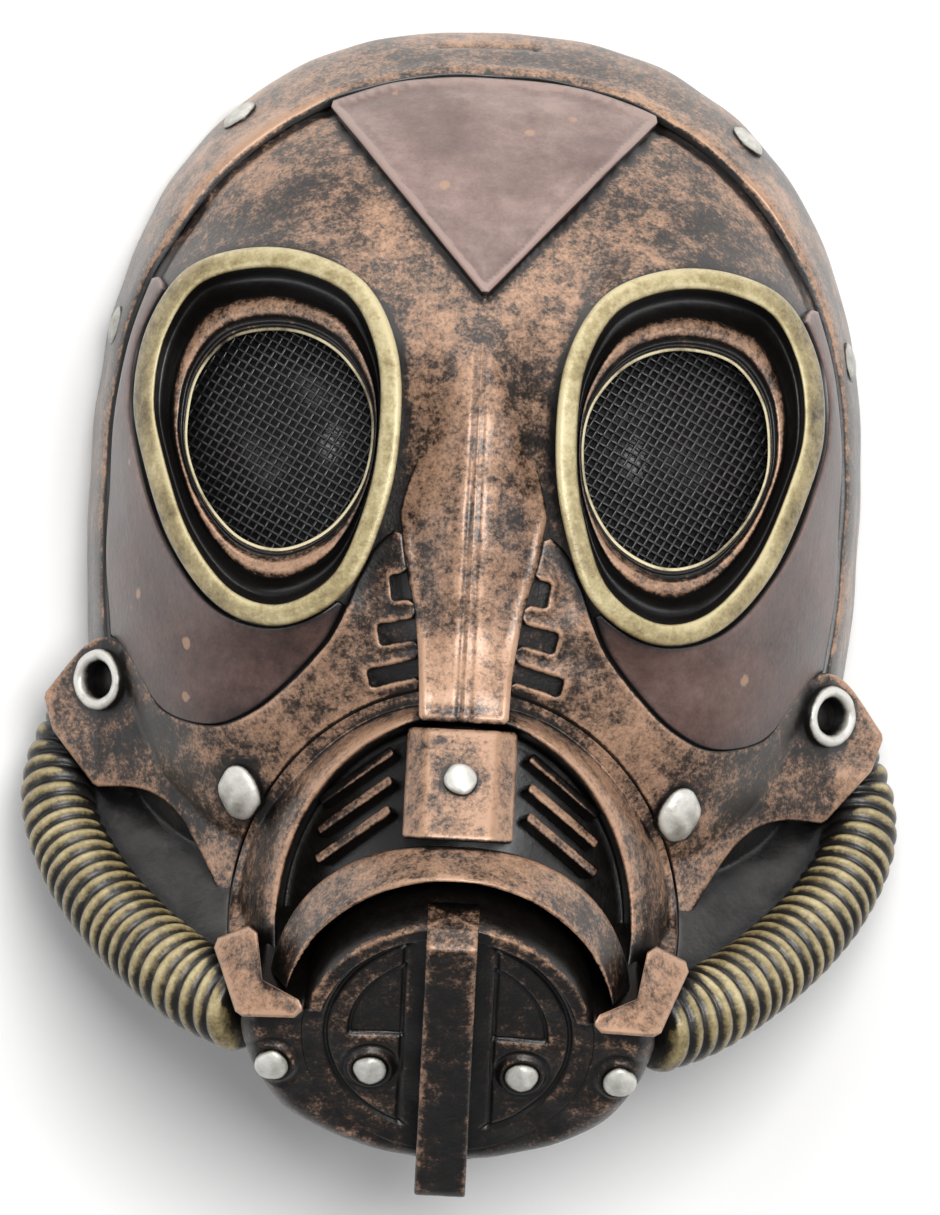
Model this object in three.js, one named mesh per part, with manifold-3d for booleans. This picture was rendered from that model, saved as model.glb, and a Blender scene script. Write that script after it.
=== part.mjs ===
// A costume mask in the form of an old gas mask: a hollow cast latex face with an open back, a riveted
// rim band, brass eye rings over wire mesh, a riveted muzzle with a filter can, and two ribbed hoses.
// Millimetres. The mask lies face up: +X to its left, +Y towards the crown, +Z out of the face, back rim on z = 0.
import * as THREE from "three";
import { mergeVertices } from "three/addons/utils/BufferGeometryUtils.js";
import Module from "manifold-3d";

const wasm = await Module();
wasm.setup();

// Driving sizes of the face.
const HALF_WIDTH = 97; // widest half width of the face's back edge
const CROWN_RISE = 117; // from the brow line up to the back edge
const JAW_DROP = 160; // from the brow line down to the back edge
const FACE_DEPTH = 95; // from the back edge to the brow
const WALL = 2.8; // cast latex
const CLEARANCE = 0.3; // between pieces that touch
const BROW_Y = 30;
const FACE_CORNER = 2.35; // roundness of the back edge's outline
const SIDE_BULGE = { spread: 3.0, drop: 1.9 }; // how full the face is towards the temples
const CROWN_BULGE = { spread: 2.2, drop: 1.3 }; // and towards the crown and chin
const NOSE_HEIGHT = 8; // the nose ridge above the face
const NOSE_SPREAD = 14;
const NOSE_TOP_Y = 46; // the ridge fades out above this

// Driving sizes of what lies on the face.
const BAND_THICKNESS = 2.5;
const BAND_INNER_SHARE = { crown: 0.905, side: 0.96 }; // of the way from the face's middle to its edge
const BAND_END_Y = -28;
const PANEL_THICKNESS = 1.4;
const NOSE_PLATE_THICKNESS = 2.2;
const ARM_THICKNESS = 3.2;
const FLANGE_THICKNESS = 10;
const BAND_RIVET = { radius: 5.3, height: 2.2 };
const ARM_RIVET = { radius: 6.8, height: 4 };
const SMALL_RIVET = { radius: 4.4, height: 2.6 };
const EYELET = { outer: 8, hole: 4.7, height: 3 };

// Driving sizes of the eyes.
const EYE_HALF_WIDTH = 34;
const EYE_TEMPLE = 9; // from the ring to the face's edge
const EYE_X = HALF_WIDTH - EYE_TEMPLE - EYE_HALF_WIDTH;
const EYE_Y = 42;
const EYE_HALF_HEIGHT = 47.7;
const EYE_RING_WIDTH = 4.8;
const EYE_RING_HEIGHT = 4.6;
const EYE_LIFT = 7; // the ring's seat above the face
const EYE_SLOPE_OUT = -0.5; // the seat falls towards the temple
const EYE_SLOPE_UP = -0.12; // and towards the brow
const LENS_OFFSET = { inward: 3.5, down: 1 }; // from the ring's middle
const LENS_HALF_WIDTH = 24;
const LENS_HALF_HEIGHT = 28;
const DISH_DEPTH = 13; // the back of the eye dish below the ring's seat
const EYE_SLEEVE = 30; // how far the frame reaches back before it is cut to the face
const MESH_THICKNESS = 1;
const MESH_DROP = 0.9; // below the dish's back

// Driving sizes of the filter can, in its own tilted frame.
const CAN_TILT_DEG = 38;
const CAN_Y = -108;
const CAN_Z = 110;
const CAN_RADIUS = 37;
const CAN_DEPTH = 16.5;

// Driving sizes of the muzzle.
const MUZZLE_Y = -80;
const MUZZLE_HALF_WIDTH = 57;
const MUZZLE_HALF_HEIGHT = 60;
const MUZZLE_CREST = 104; // height of the muzzle's middle above the back rim
const MUZZLE_ROUNDING = { across: 18, along: 4 }; // how far it falls back at the mouth's edge
const MOUTH_HALF_WIDTH = 45;
const MOUTH_HALF_HEIGHT = 53;
const MUZZLE_DEPTH = 84; // from its crest back to its foot
const MOUTH_DEPTH = 13; // from its crest to the mouth's floor
const MOUTH_FLOOR = 3.5;
const MUZZLE_WALL = 3;
const MUZZLE_HOLE_END = -112; // where the face's hole behind the muzzle ends, towards the chin
const LIP_OVER_CAN = { side: 5, top: -0.5 }; // from the can's edge to the lip's inner edge
const LIP_WIDTH = { side: 4.5, top: 8.5 };
const LIP_INNER = { halfWidth: CAN_RADIUS + LIP_OVER_CAN.side, height: CAN_RADIUS + LIP_OVER_CAN.top, corner: 2 };
const LIP_OUTER = {
  halfWidth: LIP_INNER.halfWidth + LIP_WIDTH.side,
  height: LIP_INNER.height + LIP_WIDTH.top,
  corner: 2.4,
};
const LIP_ABOVE_CAN = 3;
const LIP_Y = CAN_Y + LIP_ABOVE_CAN;
const LIP_RISE = { upper: 18, lower: 31 }; // above the muzzle's own surface
const LIP_END_FALL = 6;
const LIP_END_DEG = 11;
const BRACKET = { halfFront: 9, halfBase: 14, rise: 18, chamfer: 6, slope: -0.46 };
const BRACKET_TOP = MUZZLE_Y + 0.943 * MOUTH_HALF_HEIGHT;
const BRACKET_GAP = 1.6; // above the lip
const BRACKET_BOTTOM = LIP_Y + LIP_OUTER.height + BRACKET_GAP;
const ROOT = 40; // how far pieces that stand on another start inside it, before they are cut to its surface

// The slats in the mouth: their places in shares of the mouth's half width and half height.
const GILL = { inner: 0.344, outer: 0.8, low: 0.264, high: 0.792, slatMiddle: 0.578, topSlat: 0.679 };
const GILL_PLATE = 1.6;
const SLATS = 3;
const SLAT_PITCH = 7.5;
const SLAT_SIZE = { length: 26, width: 2.6, rise: 5 };
const SLAT_SLANT_DEG = 38;

// Driving sizes of what is on the can.
const CAN_RIM = { width: 4, height: 2.6, end: 7.6 }; // a half ring, down to the collars' ledge
const BAR = { width: 13, top: 36, bottom: -47, front: 8, back: -8 };
const CHIN_DEPTH = 46;
const CHIN_FRONT = 10; // how much of it stands in front of the muzzle
const CAN_RIVET_AT = { across: 0.52, up: -0.31 }; // in shares of CAN_RADIUS
const CHIN_RIVET_AT = { across: 1.19, up: -0.31 };
const HOSE_RIBS = 18;
const HOSE_RIB_HEIGHT = 1.6;
const HOSE_RADIUS = { flange: 9.6, collar: 11.6 };

// How finely the round forms are divided.
const FACE_AROUND = 32;
const FACE_RINGS = 8;
const EYE_STATIONS = 20;
const MUZZLE_AROUND = 22;
const CAN_AROUND = 24;
const HOSE_SIDES = 8;
const RIVET_SIDES = 9;
const EYELET_SIDES = 12;

// Outlines as shares of the half width and half height, anticlockwise from the temple, for the mask's left eye.
const EYE_OUTLINE = [
  { across: 1.0, up: 0.2 },
  { across: 0.92, up: 0.56 },
  { across: 0.66, up: 0.86 },
  { across: 0.22, up: 0.985 },
  { across: -0.26, up: 0.975 },
  { across: -0.7, up: 0.82 },
  { across: -0.95, up: 0.48 },
  { across: -1.0, up: 0.05 },
  { across: -0.92, up: -0.37 },
  { across: -0.68, up: -0.79 },
  { across: -0.22, up: -1.0 },
  { across: 0.26, up: -0.93 },
  { across: 0.66, up: -0.6 },
  { across: 0.92, up: -0.12 },
];
const LENS_OUTLINE = [
  { across: 1.0, up: 0.15 },
  { across: 0.91, up: 0.55 },
  { across: 0.62, up: 0.88 },
  { across: 0.22, up: 1.0 },
  { across: -0.22, up: 0.98 },
  { across: -0.62, up: 0.8 },
  { across: -0.92, up: 0.45 },
  { across: -1.0, up: 0.05 },
  { across: -0.9, up: -0.4 },
  { across: -0.58, up: -0.8 },
  { across: -0.1, up: -1.0 },
  { across: 0.36, up: -0.92 },
  { across: 0.74, up: -0.6 },
  { across: 0.96, up: -0.2 },
];

// Frontal outlines in shares of the face: across of HALF_WIDTH, up of CROWN_RISE above the brow line and of
// JAW_DROP below it.
const FOREHEAD_PANEL = [
  { across: 0, up: 0.42 },
  { across: 0.47, up: 0.86 },
  { across: 0.42, up: 1.0 },
  { across: 0, up: 1.02 },
];
const NOSE_PLATE = [
  { across: 0, up: 0.4 },
  { across: 0.09, up: 0.27 },
  { across: 0.15, up: 0.1 },
  { across: 0.186, up: -0.035 },
  { across: 0.166, up: -0.113 },
  { across: 0.135, up: -0.188 },
  { across: 0.114, up: -0.281 },
  { across: 0.108, up: -0.365 },
];
const CHEEK_PANEL = [
  { across: 0.87, up: 0.45 },
  { across: 0.7, up: 0.1 },
  { across: 0.5, up: -0.14 },
  { across: 0.27, up: -0.18 },
  { across: 0.39, up: -0.31 },
  { across: 0.47, up: -0.37 },
  { across: 0.63, up: -0.42 },
  { across: 0.8, up: -0.41 },
  { across: 0.9, up: -0.31 },
  { across: 1.05, up: -0.2 },
  { across: 1.05, up: 0.2 },
];
const ARM_PLATE = [
  { across: 0.15, up: -0.04 },
  { across: 0.26, up: -0.1 },
  { across: 0.34, up: -0.219 },
  { across: 0.392, up: -0.269 },
  { across: 0.474, up: -0.325 },
  { across: 0.546, up: -0.363 },
  { across: 0.629, up: -0.388 },
  { across: 0.711, up: -0.388 },
  { across: 0.794, up: -0.369 },
  { across: 0.845, up: -0.325 },
  { across: 0.887, up: -0.284 },
  { across: 0.938, up: -0.259 },
  { across: 1.01, up: -0.275 },
  { across: 1.113, up: -0.356 },
  { across: 1.085, up: -0.412 },
  { across: 0.965, up: -0.5 },
  { across: 0.866, up: -0.497 },
  { across: 0.794, up: -0.509 },
  { across: 0.732, up: -0.541 },
  { across: 0.675, up: -0.594 },
  { across: 0.624, up: -0.656 },
  { across: 0.598, up: -0.706 },
  { across: 0.46, up: -0.69 },
  { across: 0.3, up: -0.5 },
  { across: 0.1, up: -0.4 },
];
const JAW_PANEL = [
  { across: 0.97, up: -0.47 },
  { across: 0.85, up: -0.47 },
  { across: 0.76, up: -0.49 },
  { across: 0.68, up: -0.53 },
  { across: 0.6, up: -0.6 },
  { across: 0.56, up: -0.68 },
  { across: 0.56, up: -0.82 },
  { across: 0.72, up: -0.775 },
  { across: 0.83, up: -0.715 },
  { across: 0.92, up: -0.645 },
  { across: 0.98, up: -0.57 },
];

// Where rivets and eyelets sit, in the same shares.
const BAND_RIVETS_AT = { upper: { across: 0.66, up: 0.79 }, side: { across: 0.948, up: 0.325 } };
const ARM_RIVET_AT = { across: 0.572, up: -0.494 };
const EYELET_AT = { across: 0.96, up: -0.328 };

// The web of the jaw leans from the hose's upper end up to the muzzle.
const JAW = { across: 1.05, up: -0.46, height: 17, slopeOut: 0.55, slopeUp: 0.75, crest: 74 };

// The vent slots beside the nose: middle and half sizes, in the same shares, and their slant.
const VENT_SLOTS = [
  { across: 0.191, up: -0.297, halfAcross: 0.064, halfUp: 0.015, slantDeg: -16 },
  { across: 0.186, up: -0.226, halfAcross: 0.047, halfUp: 0.016, slantDeg: -12 },
  { across: 0.186, up: -0.155, halfAcross: 0.02, halfUp: 0.02, slantDeg: -8 },
];

// Heights of the arm's front face above the back rim, by share of HALF_WIDTH from the middle.
const ARM_LINE = [
  { across: 0.55, height: 0.7 },
  { across: 0.72, height: 0.6 },
  { across: 0.85, height: 0.49 },
  { across: 0.97, height: 0.38 },
  { across: 1.15, height: 0.3 },
];

// The muzzle's skin from its skirt over the mouth's frame to the mouth's floor: how far out from the mouth's edge
// towards the skirt, how far in towards the middle, how far below the crest, in shares of MUZZLE_DEPTH and of
// MOUTH_DEPTH, and how much of its half height the ring keeps at the chin.
const MUZZLE_SKIN = [
  { out: 1.0, inward: 0, drop: 1.0, floor: 0, chin: 0.82 },
  { out: 1.0, inward: 0, drop: 0.48, floor: 0, chin: 1 },
  { out: 0.9, inward: 0, drop: 0.17, floor: 0, chin: 1 },
  { out: 0.6, inward: 0, drop: 0.06, floor: 0, chin: 1 },
  { out: 0.35, inward: 0, drop: -0.018, floor: 0, chin: 1 },
  { out: 0.15, inward: 0, drop: -0.048, floor: 0, chin: 1 },
  { out: 0.0, inward: 0, drop: -0.043, floor: 0, chin: 1 },
  { out: 0.0, inward: 0.03, drop: 0, floor: 1, chin: 1 },
  { out: 0.0, inward: 0.45, drop: 0, floor: 1, chin: 1 },
];
const MUZZLE_HOLLOW = [
  { out: 1.0, inward: 0, drop: 1.1, floor: 0, chin: 0.8 },
  { out: 1.0, inward: 0, drop: 0.5, floor: 0, chin: 1 },
  { out: 0.7, inward: 0, drop: 0.05, floor: 1, chin: 1 },
  { out: 0.1, inward: 0, drop: 0, floor: 1, chin: 1 },
  { out: 0.0, inward: 0.45, drop: 0, floor: 1, chin: 1 },
];

// The chin around the can, in the can's tilted plane, in shares of CAN_RADIUS.
const CHIN_OUTLINE = [
  { across: 0.0, up: 0.5 },
  { across: 0.9, up: 0.3 },
  { across: 1.1, up: 0.16 },
  { across: 1.36, up: 0.12 },
  { across: 1.42, up: -0.06 },
  { across: 1.34, up: -0.38 },
  { across: 1.12, up: -0.76 },
  { across: 0.8, up: -0.98 },
  { across: 0.42, up: -1.12 },
  { across: 0.0, up: -1.17 },
];
const CHIN_SECTIONS = [
  { back: 0.0, share: 0.9 },
  { back: 0.03, share: 0.96 },
  { back: 0.1, share: 1.0 },
  { back: 0.5, share: 0.99 },
  { back: 1.0, share: 0.88 },
];

// The collar that each hose runs into, on the muzzle's side: corners of its front face around the can's middle, in
// shares of the muzzle's half width, half height and crest.
const COLLAR_CORNERS = [
  { across: 1.071, up: 0.35, front: -0.135 },
  { across: 0.876, up: 0.434, front: -0.038 },
  { across: 0.834, up: 0.2, front: 0.067 },
  { across: 0.649, up: 0.117, front: 0.106 },
  { across: 0.649, up: 0.05, front: 0.096 },
  { across: 0.939, up: 0.042, front: 0.038 },
];
const COLLAR_BACK = -0.559;

// The hose's middle line, from under the flange to the collar, in shares of the face, as the outlines above, and of
// FACE_DEPTH.
const HOSE_ROUTE = [
  { across: 1.0052, up: -0.3937, height: 0.1368 },
  { across: 1.0515, up: -0.4625, height: 0.1684 },
  { across: 1.0567, up: -0.5312, height: 0.2526 },
  { across: 1.0155, up: -0.6000, height: 0.3579 },
  { across: 0.9381, up: -0.6687, height: 0.5053 },
  { across: 0.8351, up: -0.7312, height: 0.6526 },
  { across: 0.7268, up: -0.7812, height: 0.8000 },
  { across: 0.6392, up: -0.8125, height: 0.8947 },
  { across: 0.5258, up: -0.8375, height: 1.0000 },
];

const RIM_MARGIN = 12; // how far the cutting forms reach below the back rim
const FAR = 260;

// The colours, as painted on the cast.
const PAINT = {
  bronze: new THREE.MeshStandardMaterial({ color: 0x7a5236, roughness: 0.5, metalness: 0.35 }),
  leather: new THREE.MeshStandardMaterial({ color: 0x5e4038, roughness: 0.45, metalness: 0 }),
  black: new THREE.MeshStandardMaterial({ color: 0x1d1a19, roughness: 0.4, metalness: 0 }),
  brass: new THREE.MeshStandardMaterial({ color: 0x9a8443, roughness: 0.4, metalness: 0.5 }),
  silver: new THREE.MeshStandardMaterial({ color: 0xb9b6ac, roughness: 0.4, metalness: 0.6 }),
};

const mix = (a, b, t) => a + (b - a) * t;
const radians = THREE.MathUtils.degToRad;

// Closed geometry to a solid that can be cut, and back.
function solidOf(geometry) {
  const bare = new THREE.BufferGeometry();
  bare.setAttribute("position", geometry.getAttribute("position"));
  if (geometry.index) bare.setIndex(geometry.index);
  const merged = mergeVertices(bare, 1e-4);
  return new wasm.Manifold(
    new wasm.Mesh({
      numProp: 3,
      vertProperties: merged.attributes.position.array,
      triVerts: new Uint32Array(merged.index.array),
    }),
  );
}

function geometryOf(solid) {
  const mesh = solid.getMesh();
  const positions = new Float32Array(mesh.numVert * 3);
  for (let i = 0; i < mesh.numVert; i++)
    positions.set(mesh.vertProperties.subarray(i * mesh.numProp, i * mesh.numProp + 3), i * 3);
  const geometry = new THREE.BufferGeometry();
  geometry.setAttribute("position", new THREE.BufferAttribute(positions, 3));
  geometry.setIndex(new THREE.BufferAttribute(mesh.triVerts, 1));
  geometry.computeVertexNormals();
  return geometry;
}

// The largest body of a solid, without the slivers that a cut can leave.
function largest(solid) {
  return solid.decompose().sort((a, b) => b.volume() - a.volume())[0];
}

// A solid through closed sections of as many points each: closed into a ring, or capped at both ends.
function loft(sections, closed = false) {
  const count = sections[0].length;
  const points = sections.flat();
  const faces = [];
  const last = closed ? sections.length : sections.length - 1;
  for (let i = 0; i < last; i++)
    for (let j = 0; j < count; j++) {
      const a = i * count + j;
      const b = i * count + ((j + 1) % count);
      const c = ((i + 1) % sections.length) * count + j;
      const d = ((i + 1) % sections.length) * count + ((j + 1) % count);
      if (points[a].x + points[d].x < 0) faces.push(a, c, d, a, d, b);
      else faces.push(a, c, b, b, c, d);
    }
  if (!closed)
    for (const [index, flip] of [[0, false], [sections.length - 1, true]]) {
      const centre = new THREE.Vector3();
      for (const p of sections[index]) centre.add(p);
      points.push(centre.divideScalar(count));
      for (let j = 0; j < count; j++) {
        const edge = [index * count + j, index * count + ((j + 1) % count)];
        if (flip) edge.reverse();
        faces.push(points.length - 1, ...edge);
      }
    }
  const geometry = new THREE.BufferGeometry().setFromPoints(points);
  geometry.setIndex(faces);
  const made = solidOf(geometry);
  if (made.volume() > 0) return made;
  for (let i = 0; i < faces.length; i += 3) [faces[i + 1], faces[i + 2]] = [faces[i + 2], faces[i + 1]];
  geometry.setIndex(faces);
  return solidOf(geometry);
}

// A straight prism along Z over a frontal outline.
function prism(outline, low = -FAR, high = FAR) {
  const shape = new THREE.Shape(outline.map((p) => new THREE.Vector2(p.x, p.y)));
  const geometry = new THREE.ExtrudeGeometry(shape, { depth: high - low, bevelEnabled: false });
  return solidOf(geometry.translate(0, 0, low));
}

// A block over a grid of the frontal plane, with its front and back given as heights.
function fieldBlock(x0, x1, y0, y1, columns, rows, front, back) {
  const sections = [];
  for (let i = 0; i <= columns; i++) {
    const x = mix(x0, x1, i / columns);
    const section = [];
    for (let j = 0; j <= rows; j++) {
      const y = mix(y0, y1, j / rows);
      section.push(new THREE.Vector3(x, y, front(x, y)));
    }
    for (let j = rows; j >= 0; j--) {
      const y = mix(y0, y1, j / rows);
      section.push(new THREE.Vector3(x, y, back(x, y)));
    }
    sections.push(section);
  }
  return loftStrips(sections);
}

// A solid through sections whose ends are strips between a front and a back row of points.
function loftStrips(sections) {
  const count = sections[0].length;
  const points = sections.flat();
  const faces = [];
  for (let i = 0; i + 1 < sections.length; i++)
    for (let j = 0; j < count; j++) {
      const a = i * count + j;
      const b = i * count + ((j + 1) % count);
      faces.push(a, a + count, b, b, a + count, b + count);
    }
  const end = (sections.length - 1) * count;
  for (let j = 0; j + 1 < count / 2; j++) {
    const k = count - 1 - j;
    faces.push(j, j + 1, k, k, j + 1, k - 1);
    faces.push(end + j, end + k, end + j + 1, end + k, end + k - 1, end + j + 1);
  }
  const geometry = new THREE.BufferGeometry().setFromPoints(points);
  geometry.setIndex(faces);
  const made = solidOf(geometry);
  if (made.volume() > 0) return made;
  for (let i = 0; i < faces.length; i += 3) [faces[i + 1], faces[i + 2]] = [faces[i + 2], faces[i + 1]];
  geometry.setIndex(faces);
  return solidOf(geometry);
}

// Face landmarks from their shares.
const faceX = (across) => across * HALF_WIDTH;
const faceY = (up) => (up > 0 ? up * CROWN_RISE : up * JAW_DROP) + BROW_Y;

// How far (x, y) lies from the brow towards the face's outline, 0 to 1, and how far sideways that direction is.
function faceShare(x, y) {
  const across = Math.abs(x / HALF_WIDTH) ** FACE_CORNER;
  const dy = y - BROW_Y;
  const along = Math.abs(dy / (dy > 0 ? CROWN_RISE : JAW_DROP)) ** FACE_CORNER;
  const sum = across + along;
  return { share: sum ** (1 / FACE_CORNER), side: sum > 0 ? across / sum : 1 };
}

function faceHeightPlain(x, y) {
  const { share, side } = faceShare(x, y);
  if (share >= 1) return 0;
  const spread = mix(CROWN_BULGE.spread, SIDE_BULGE.spread, side);
  const drop = mix(CROWN_BULGE.drop, SIDE_BULGE.drop, side);
  return FACE_DEPTH * (1 - share ** spread) ** (1 / drop);
}

function noseRidge(x, y) {
  const above = Math.max(0, y - NOSE_TOP_Y) / (0.3 * CROWN_RISE);
  const below = Math.max(0, -0.36 * JAW_DROP + BROW_Y - y) / (0.2 * JAW_DROP);
  return NOSE_HEIGHT * Math.exp(-((x / NOSE_SPREAD) ** 2) - above ** 2 - below ** 2);
}

const faceHeight = (x, y) => faceHeightPlain(x, y) + noseRidge(x, y);

// The face's point in a direction, from its middle (turn 0) to its edge (turn a quarter circle).
function facePoint(angle, turn) {
  const cos = Math.cos(angle);
  const sin = Math.sin(angle);
  const rise = sin > 0 ? CROWN_RISE : JAW_DROP;
  const reach = (Math.abs(cos / HALF_WIDTH) ** FACE_CORNER + Math.abs(sin / rise) ** FACE_CORNER) ** (-1 / FACE_CORNER);
  const radius = reach * Math.sin(turn);
  const x = radius * cos;
  const y = BROW_Y + radius * sin;
  return new THREE.Vector3(x, y, faceHeight(x, y));
}

function facePointOut(angle, turn, offset) {
  const step = 0.02;
  const inner = facePoint(angle, turn - step);
  const outer = turn + step > Math.PI / 2 ? facePoint(angle, turn) : facePoint(angle, turn + step);
  const along = outer.sub(inner);
  const across = facePoint(angle + step, turn).sub(facePoint(angle - step, turn));
  const normal = along.cross(across).normalize();
  if (normal.z < 0) normal.negate();
  return facePoint(angle, turn).addScaledVector(normal, offset);
}

// The whole face as a closed dome, grown outwards by an offset, with its foot below the back rim.
function faceDome(offset) {
  const rings = [];
  for (let k = FACE_RINGS; k >= 1; k--) {
    const turn = (Math.PI / 2) * (k / FACE_RINGS);
    const ring = [];
    for (let i = 0; i < FACE_AROUND; i++) ring.push(facePointOut((i * 2 * Math.PI) / FACE_AROUND, turn, offset));
    if (k === FACE_RINGS) rings.push(ring.map((p) => new THREE.Vector3(p.x, p.y, -RIM_MARGIN)));
    rings.push(ring);
  }
  return loft(rings);
}

const belowRim = solidOf(new THREE.BoxGeometry(2 * FAR, 2 * FAR, 2 * FAR).translate(0, 0, -FAR));
const domes = new Map();
function dome(offset) {
  if (!domes.has(offset)) domes.set(offset, faceDome(offset));
  return domes.get(offset);
}
const seat = () => dome(CLEARANCE);

// A frontal outline from a table of shares, mirrored for the other side of the face.
const faceOutline = (table, side = 1) => table.map((row) => new THREE.Vector2(side * faceX(row.across), faceY(row.up)));
function bothSides(table) {
  const right = faceOutline(table);
  const left = faceOutline(table, -1).reverse();
  return [...right, ...left.filter((p) => Math.abs(p.x) > 1e-6)];
}

// The eye's outlines: the ring's outer and inner edge, and the lens, at the same stations.
function closedCurve(table, x, y, halfWidth, halfHeight) {
  const points = table.map((row) => new THREE.Vector3(x + row.across * halfWidth, y + row.up * halfHeight, 0));
  return new THREE.CatmullRomCurve3(points, true, "catmullrom", 0.5).getPoints(EYE_STATIONS).slice(0, EYE_STATIONS);
}

function inset(outline, distance) {
  const count = outline.length;
  return outline.map((p, i) => {
    const along = outline[(i + 1) % count].clone().sub(outline[(i + count - 1) % count]).normalize();
    return new THREE.Vector3(p.x - along.y * distance, p.y + along.x * distance, 0);
  });
}

const eyeOuter = closedCurve(EYE_OUTLINE, EYE_X, EYE_Y, EYE_HALF_WIDTH, EYE_HALF_HEIGHT);
const eyeInner = inset(eyeOuter, EYE_RING_WIDTH);
const lensEdge = closedCurve(
  LENS_OUTLINE,
  EYE_X - LENS_OFFSET.inward,
  EYE_Y - LENS_OFFSET.down,
  LENS_HALF_WIDTH,
  LENS_HALF_HEIGHT,
);

// The seat that an eye ring stands on, half way between a sloping plane and the face.
function eyeSeat(x, y) {
  const middle = faceHeightPlain(EYE_X, EYE_Y) + EYE_LIFT;
  const plane = middle + EYE_SLOPE_OUT * (x - EYE_X) + EYE_SLOPE_UP * (y - EYE_Y);
  return mix(plane, faceHeightPlain(x, y) + EYE_LIFT, 0.5);
}

// A closed ring around the eye. Each row says how far its point lies from one outline to another, and its height.
function eyeLoft(rows) {
  const outlines = { outer: eyeOuter, inner: eyeInner, lens: lensEdge };
  return loft(
    eyeOuter.map((_, i) =>
      rows.map((row) => {
        const p = outlines[row.from][i].clone().lerp(outlines[row.to][i], row.share);
        return new THREE.Vector3(p.x, p.y, eyeSeat(p.x, p.y) + row.rise);
      }),
    ),
    true,
  );
}

const eyeThrough = eyeInner.map((p, i) => p.clone().lerp(eyeOuter[i], 0.2));
const eyeHole = inset(eyeThrough, -0.5);
const DISH_SECTION = [
  { from: "outer", to: "inner", share: 0, rise: -1.3 * CLEARANCE },
  { from: "outer", to: "inner", share: 1, rise: -1.3 * CLEARANCE },
  { from: "inner", to: "lens", share: 0.12, rise: -0.615 * DISH_DEPTH },
  { from: "inner", to: "lens", share: 0.38, rise: -0.692 * DISH_DEPTH },
  { from: "inner", to: "lens", share: 0.55, rise: -0.423 * DISH_DEPTH },
  { from: "inner", to: "lens", share: 0.85, rise: -0.5 * DISH_DEPTH },
  { from: "inner", to: "lens", share: 1, rise: -0.731 * DISH_DEPTH },
  { from: "inner", to: "lens", share: 1, rise: -DISH_DEPTH },
  { from: "inner", to: "outer", share: 0.35, rise: -DISH_DEPTH },
  { from: "inner", to: "outer", share: 0.35, rise: -DISH_DEPTH - EYE_SLEEVE },
  { from: "outer", to: "inner", share: 0, rise: -DISH_DEPTH - EYE_SLEEVE },
];
const RING_SECTION = [
  { from: "outer", to: "inner", share: -0.06, rise: 0 },
  { from: "outer", to: "inner", share: -0.06, rise: 0.6 * EYE_RING_HEIGHT },
  { from: "outer", to: "inner", share: 0.2, rise: EYE_RING_HEIGHT },
  { from: "outer", to: "inner", share: 0.8, rise: EYE_RING_HEIGHT },
  { from: "outer", to: "inner", share: 1.06, rise: 0.6 * EYE_RING_HEIGHT },
  { from: "outer", to: "inner", share: 1.06, rise: 0 },
];

// What an eye takes out of the plates around it.
const eyeClaim = () => prism(inset(eyeOuter, -2 * CLEARANCE));

function makeEyeFrame() {
  return largest(eyeLoft(DISH_SECTION).subtract(seat().subtract(prism(eyeThrough))));
}

// The mesh is a plate behind the dish's floor, over its whole opening.
function makeEyeMesh() {
  const top = lensEdge
    .map((p, i) => p.clone().lerp(eyeInner[i], 0.25))
    .map((p) => p.setZ(eyeSeat(p.x, p.y) - DISH_DEPTH - MESH_DROP));
  const back = top.map((p) => p.clone().setZ(p.z - MESH_THICKNESS));
  return largest(loft([back, top]).subtract(seat().subtract(prism(eyeThrough))));
}

// The can's tilted frame.
const canFrame = new THREE.Matrix4()
  .makeRotationX(radians(CAN_TILT_DEG))
  .setPosition(0, CAN_Y, CAN_Z);
const inCanFrame = (solid) => solid.transform(canFrame.elements);

const frontOf = (level) => solidOf(new THREE.BoxGeometry(FAR, FAR, FAR).translate(0, 0, level + FAR / 2));

function canCylinder(radius, low, high) {
  const geometry = new THREE.CylinderGeometry(radius, radius, high - low, CAN_AROUND);
  return solidOf(geometry.rotateX(Math.PI / 2).translate(0, 0, (low + high) / 2));
}

// The muzzle's surface, and rings around the mouth's middle.
function muzzleHeight(x, y) {
  const across = x / MOUTH_HALF_WIDTH;
  const along = (y - MUZZLE_Y) / MOUTH_HALF_HEIGHT;
  return MUZZLE_CREST - MUZZLE_ROUNDING.across * across ** 2 - MUZZLE_ROUNDING.along * along ** 2;
}

const dropOf = (row) => row.drop * MUZZLE_DEPTH + row.floor * MOUTH_DEPTH;

function mouthRing({ out, inward, chin = 1 }, shift, drop) {
  const halfWidth = mix(MOUTH_HALF_WIDTH, MUZZLE_HALF_WIDTH, out) * (1 - inward) + shift;
  const halfHeight = mix(MOUTH_HALF_HEIGHT, MUZZLE_HALF_HEIGHT, out) * (1 - inward) + shift;
  const ring = [];
  for (let i = 0; i < MUZZLE_AROUND; i++) {
    const angle = (i * 2 * Math.PI) / MUZZLE_AROUND;
    const x = halfWidth * Math.cos(angle);
    const y = MUZZLE_Y + halfHeight * Math.sin(angle) * (Math.sin(angle) < 0 ? chin : 1);
    ring.push(new THREE.Vector3(x, y, muzzleHeight(x, y) - drop));
  }
  return ring;
}

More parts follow.
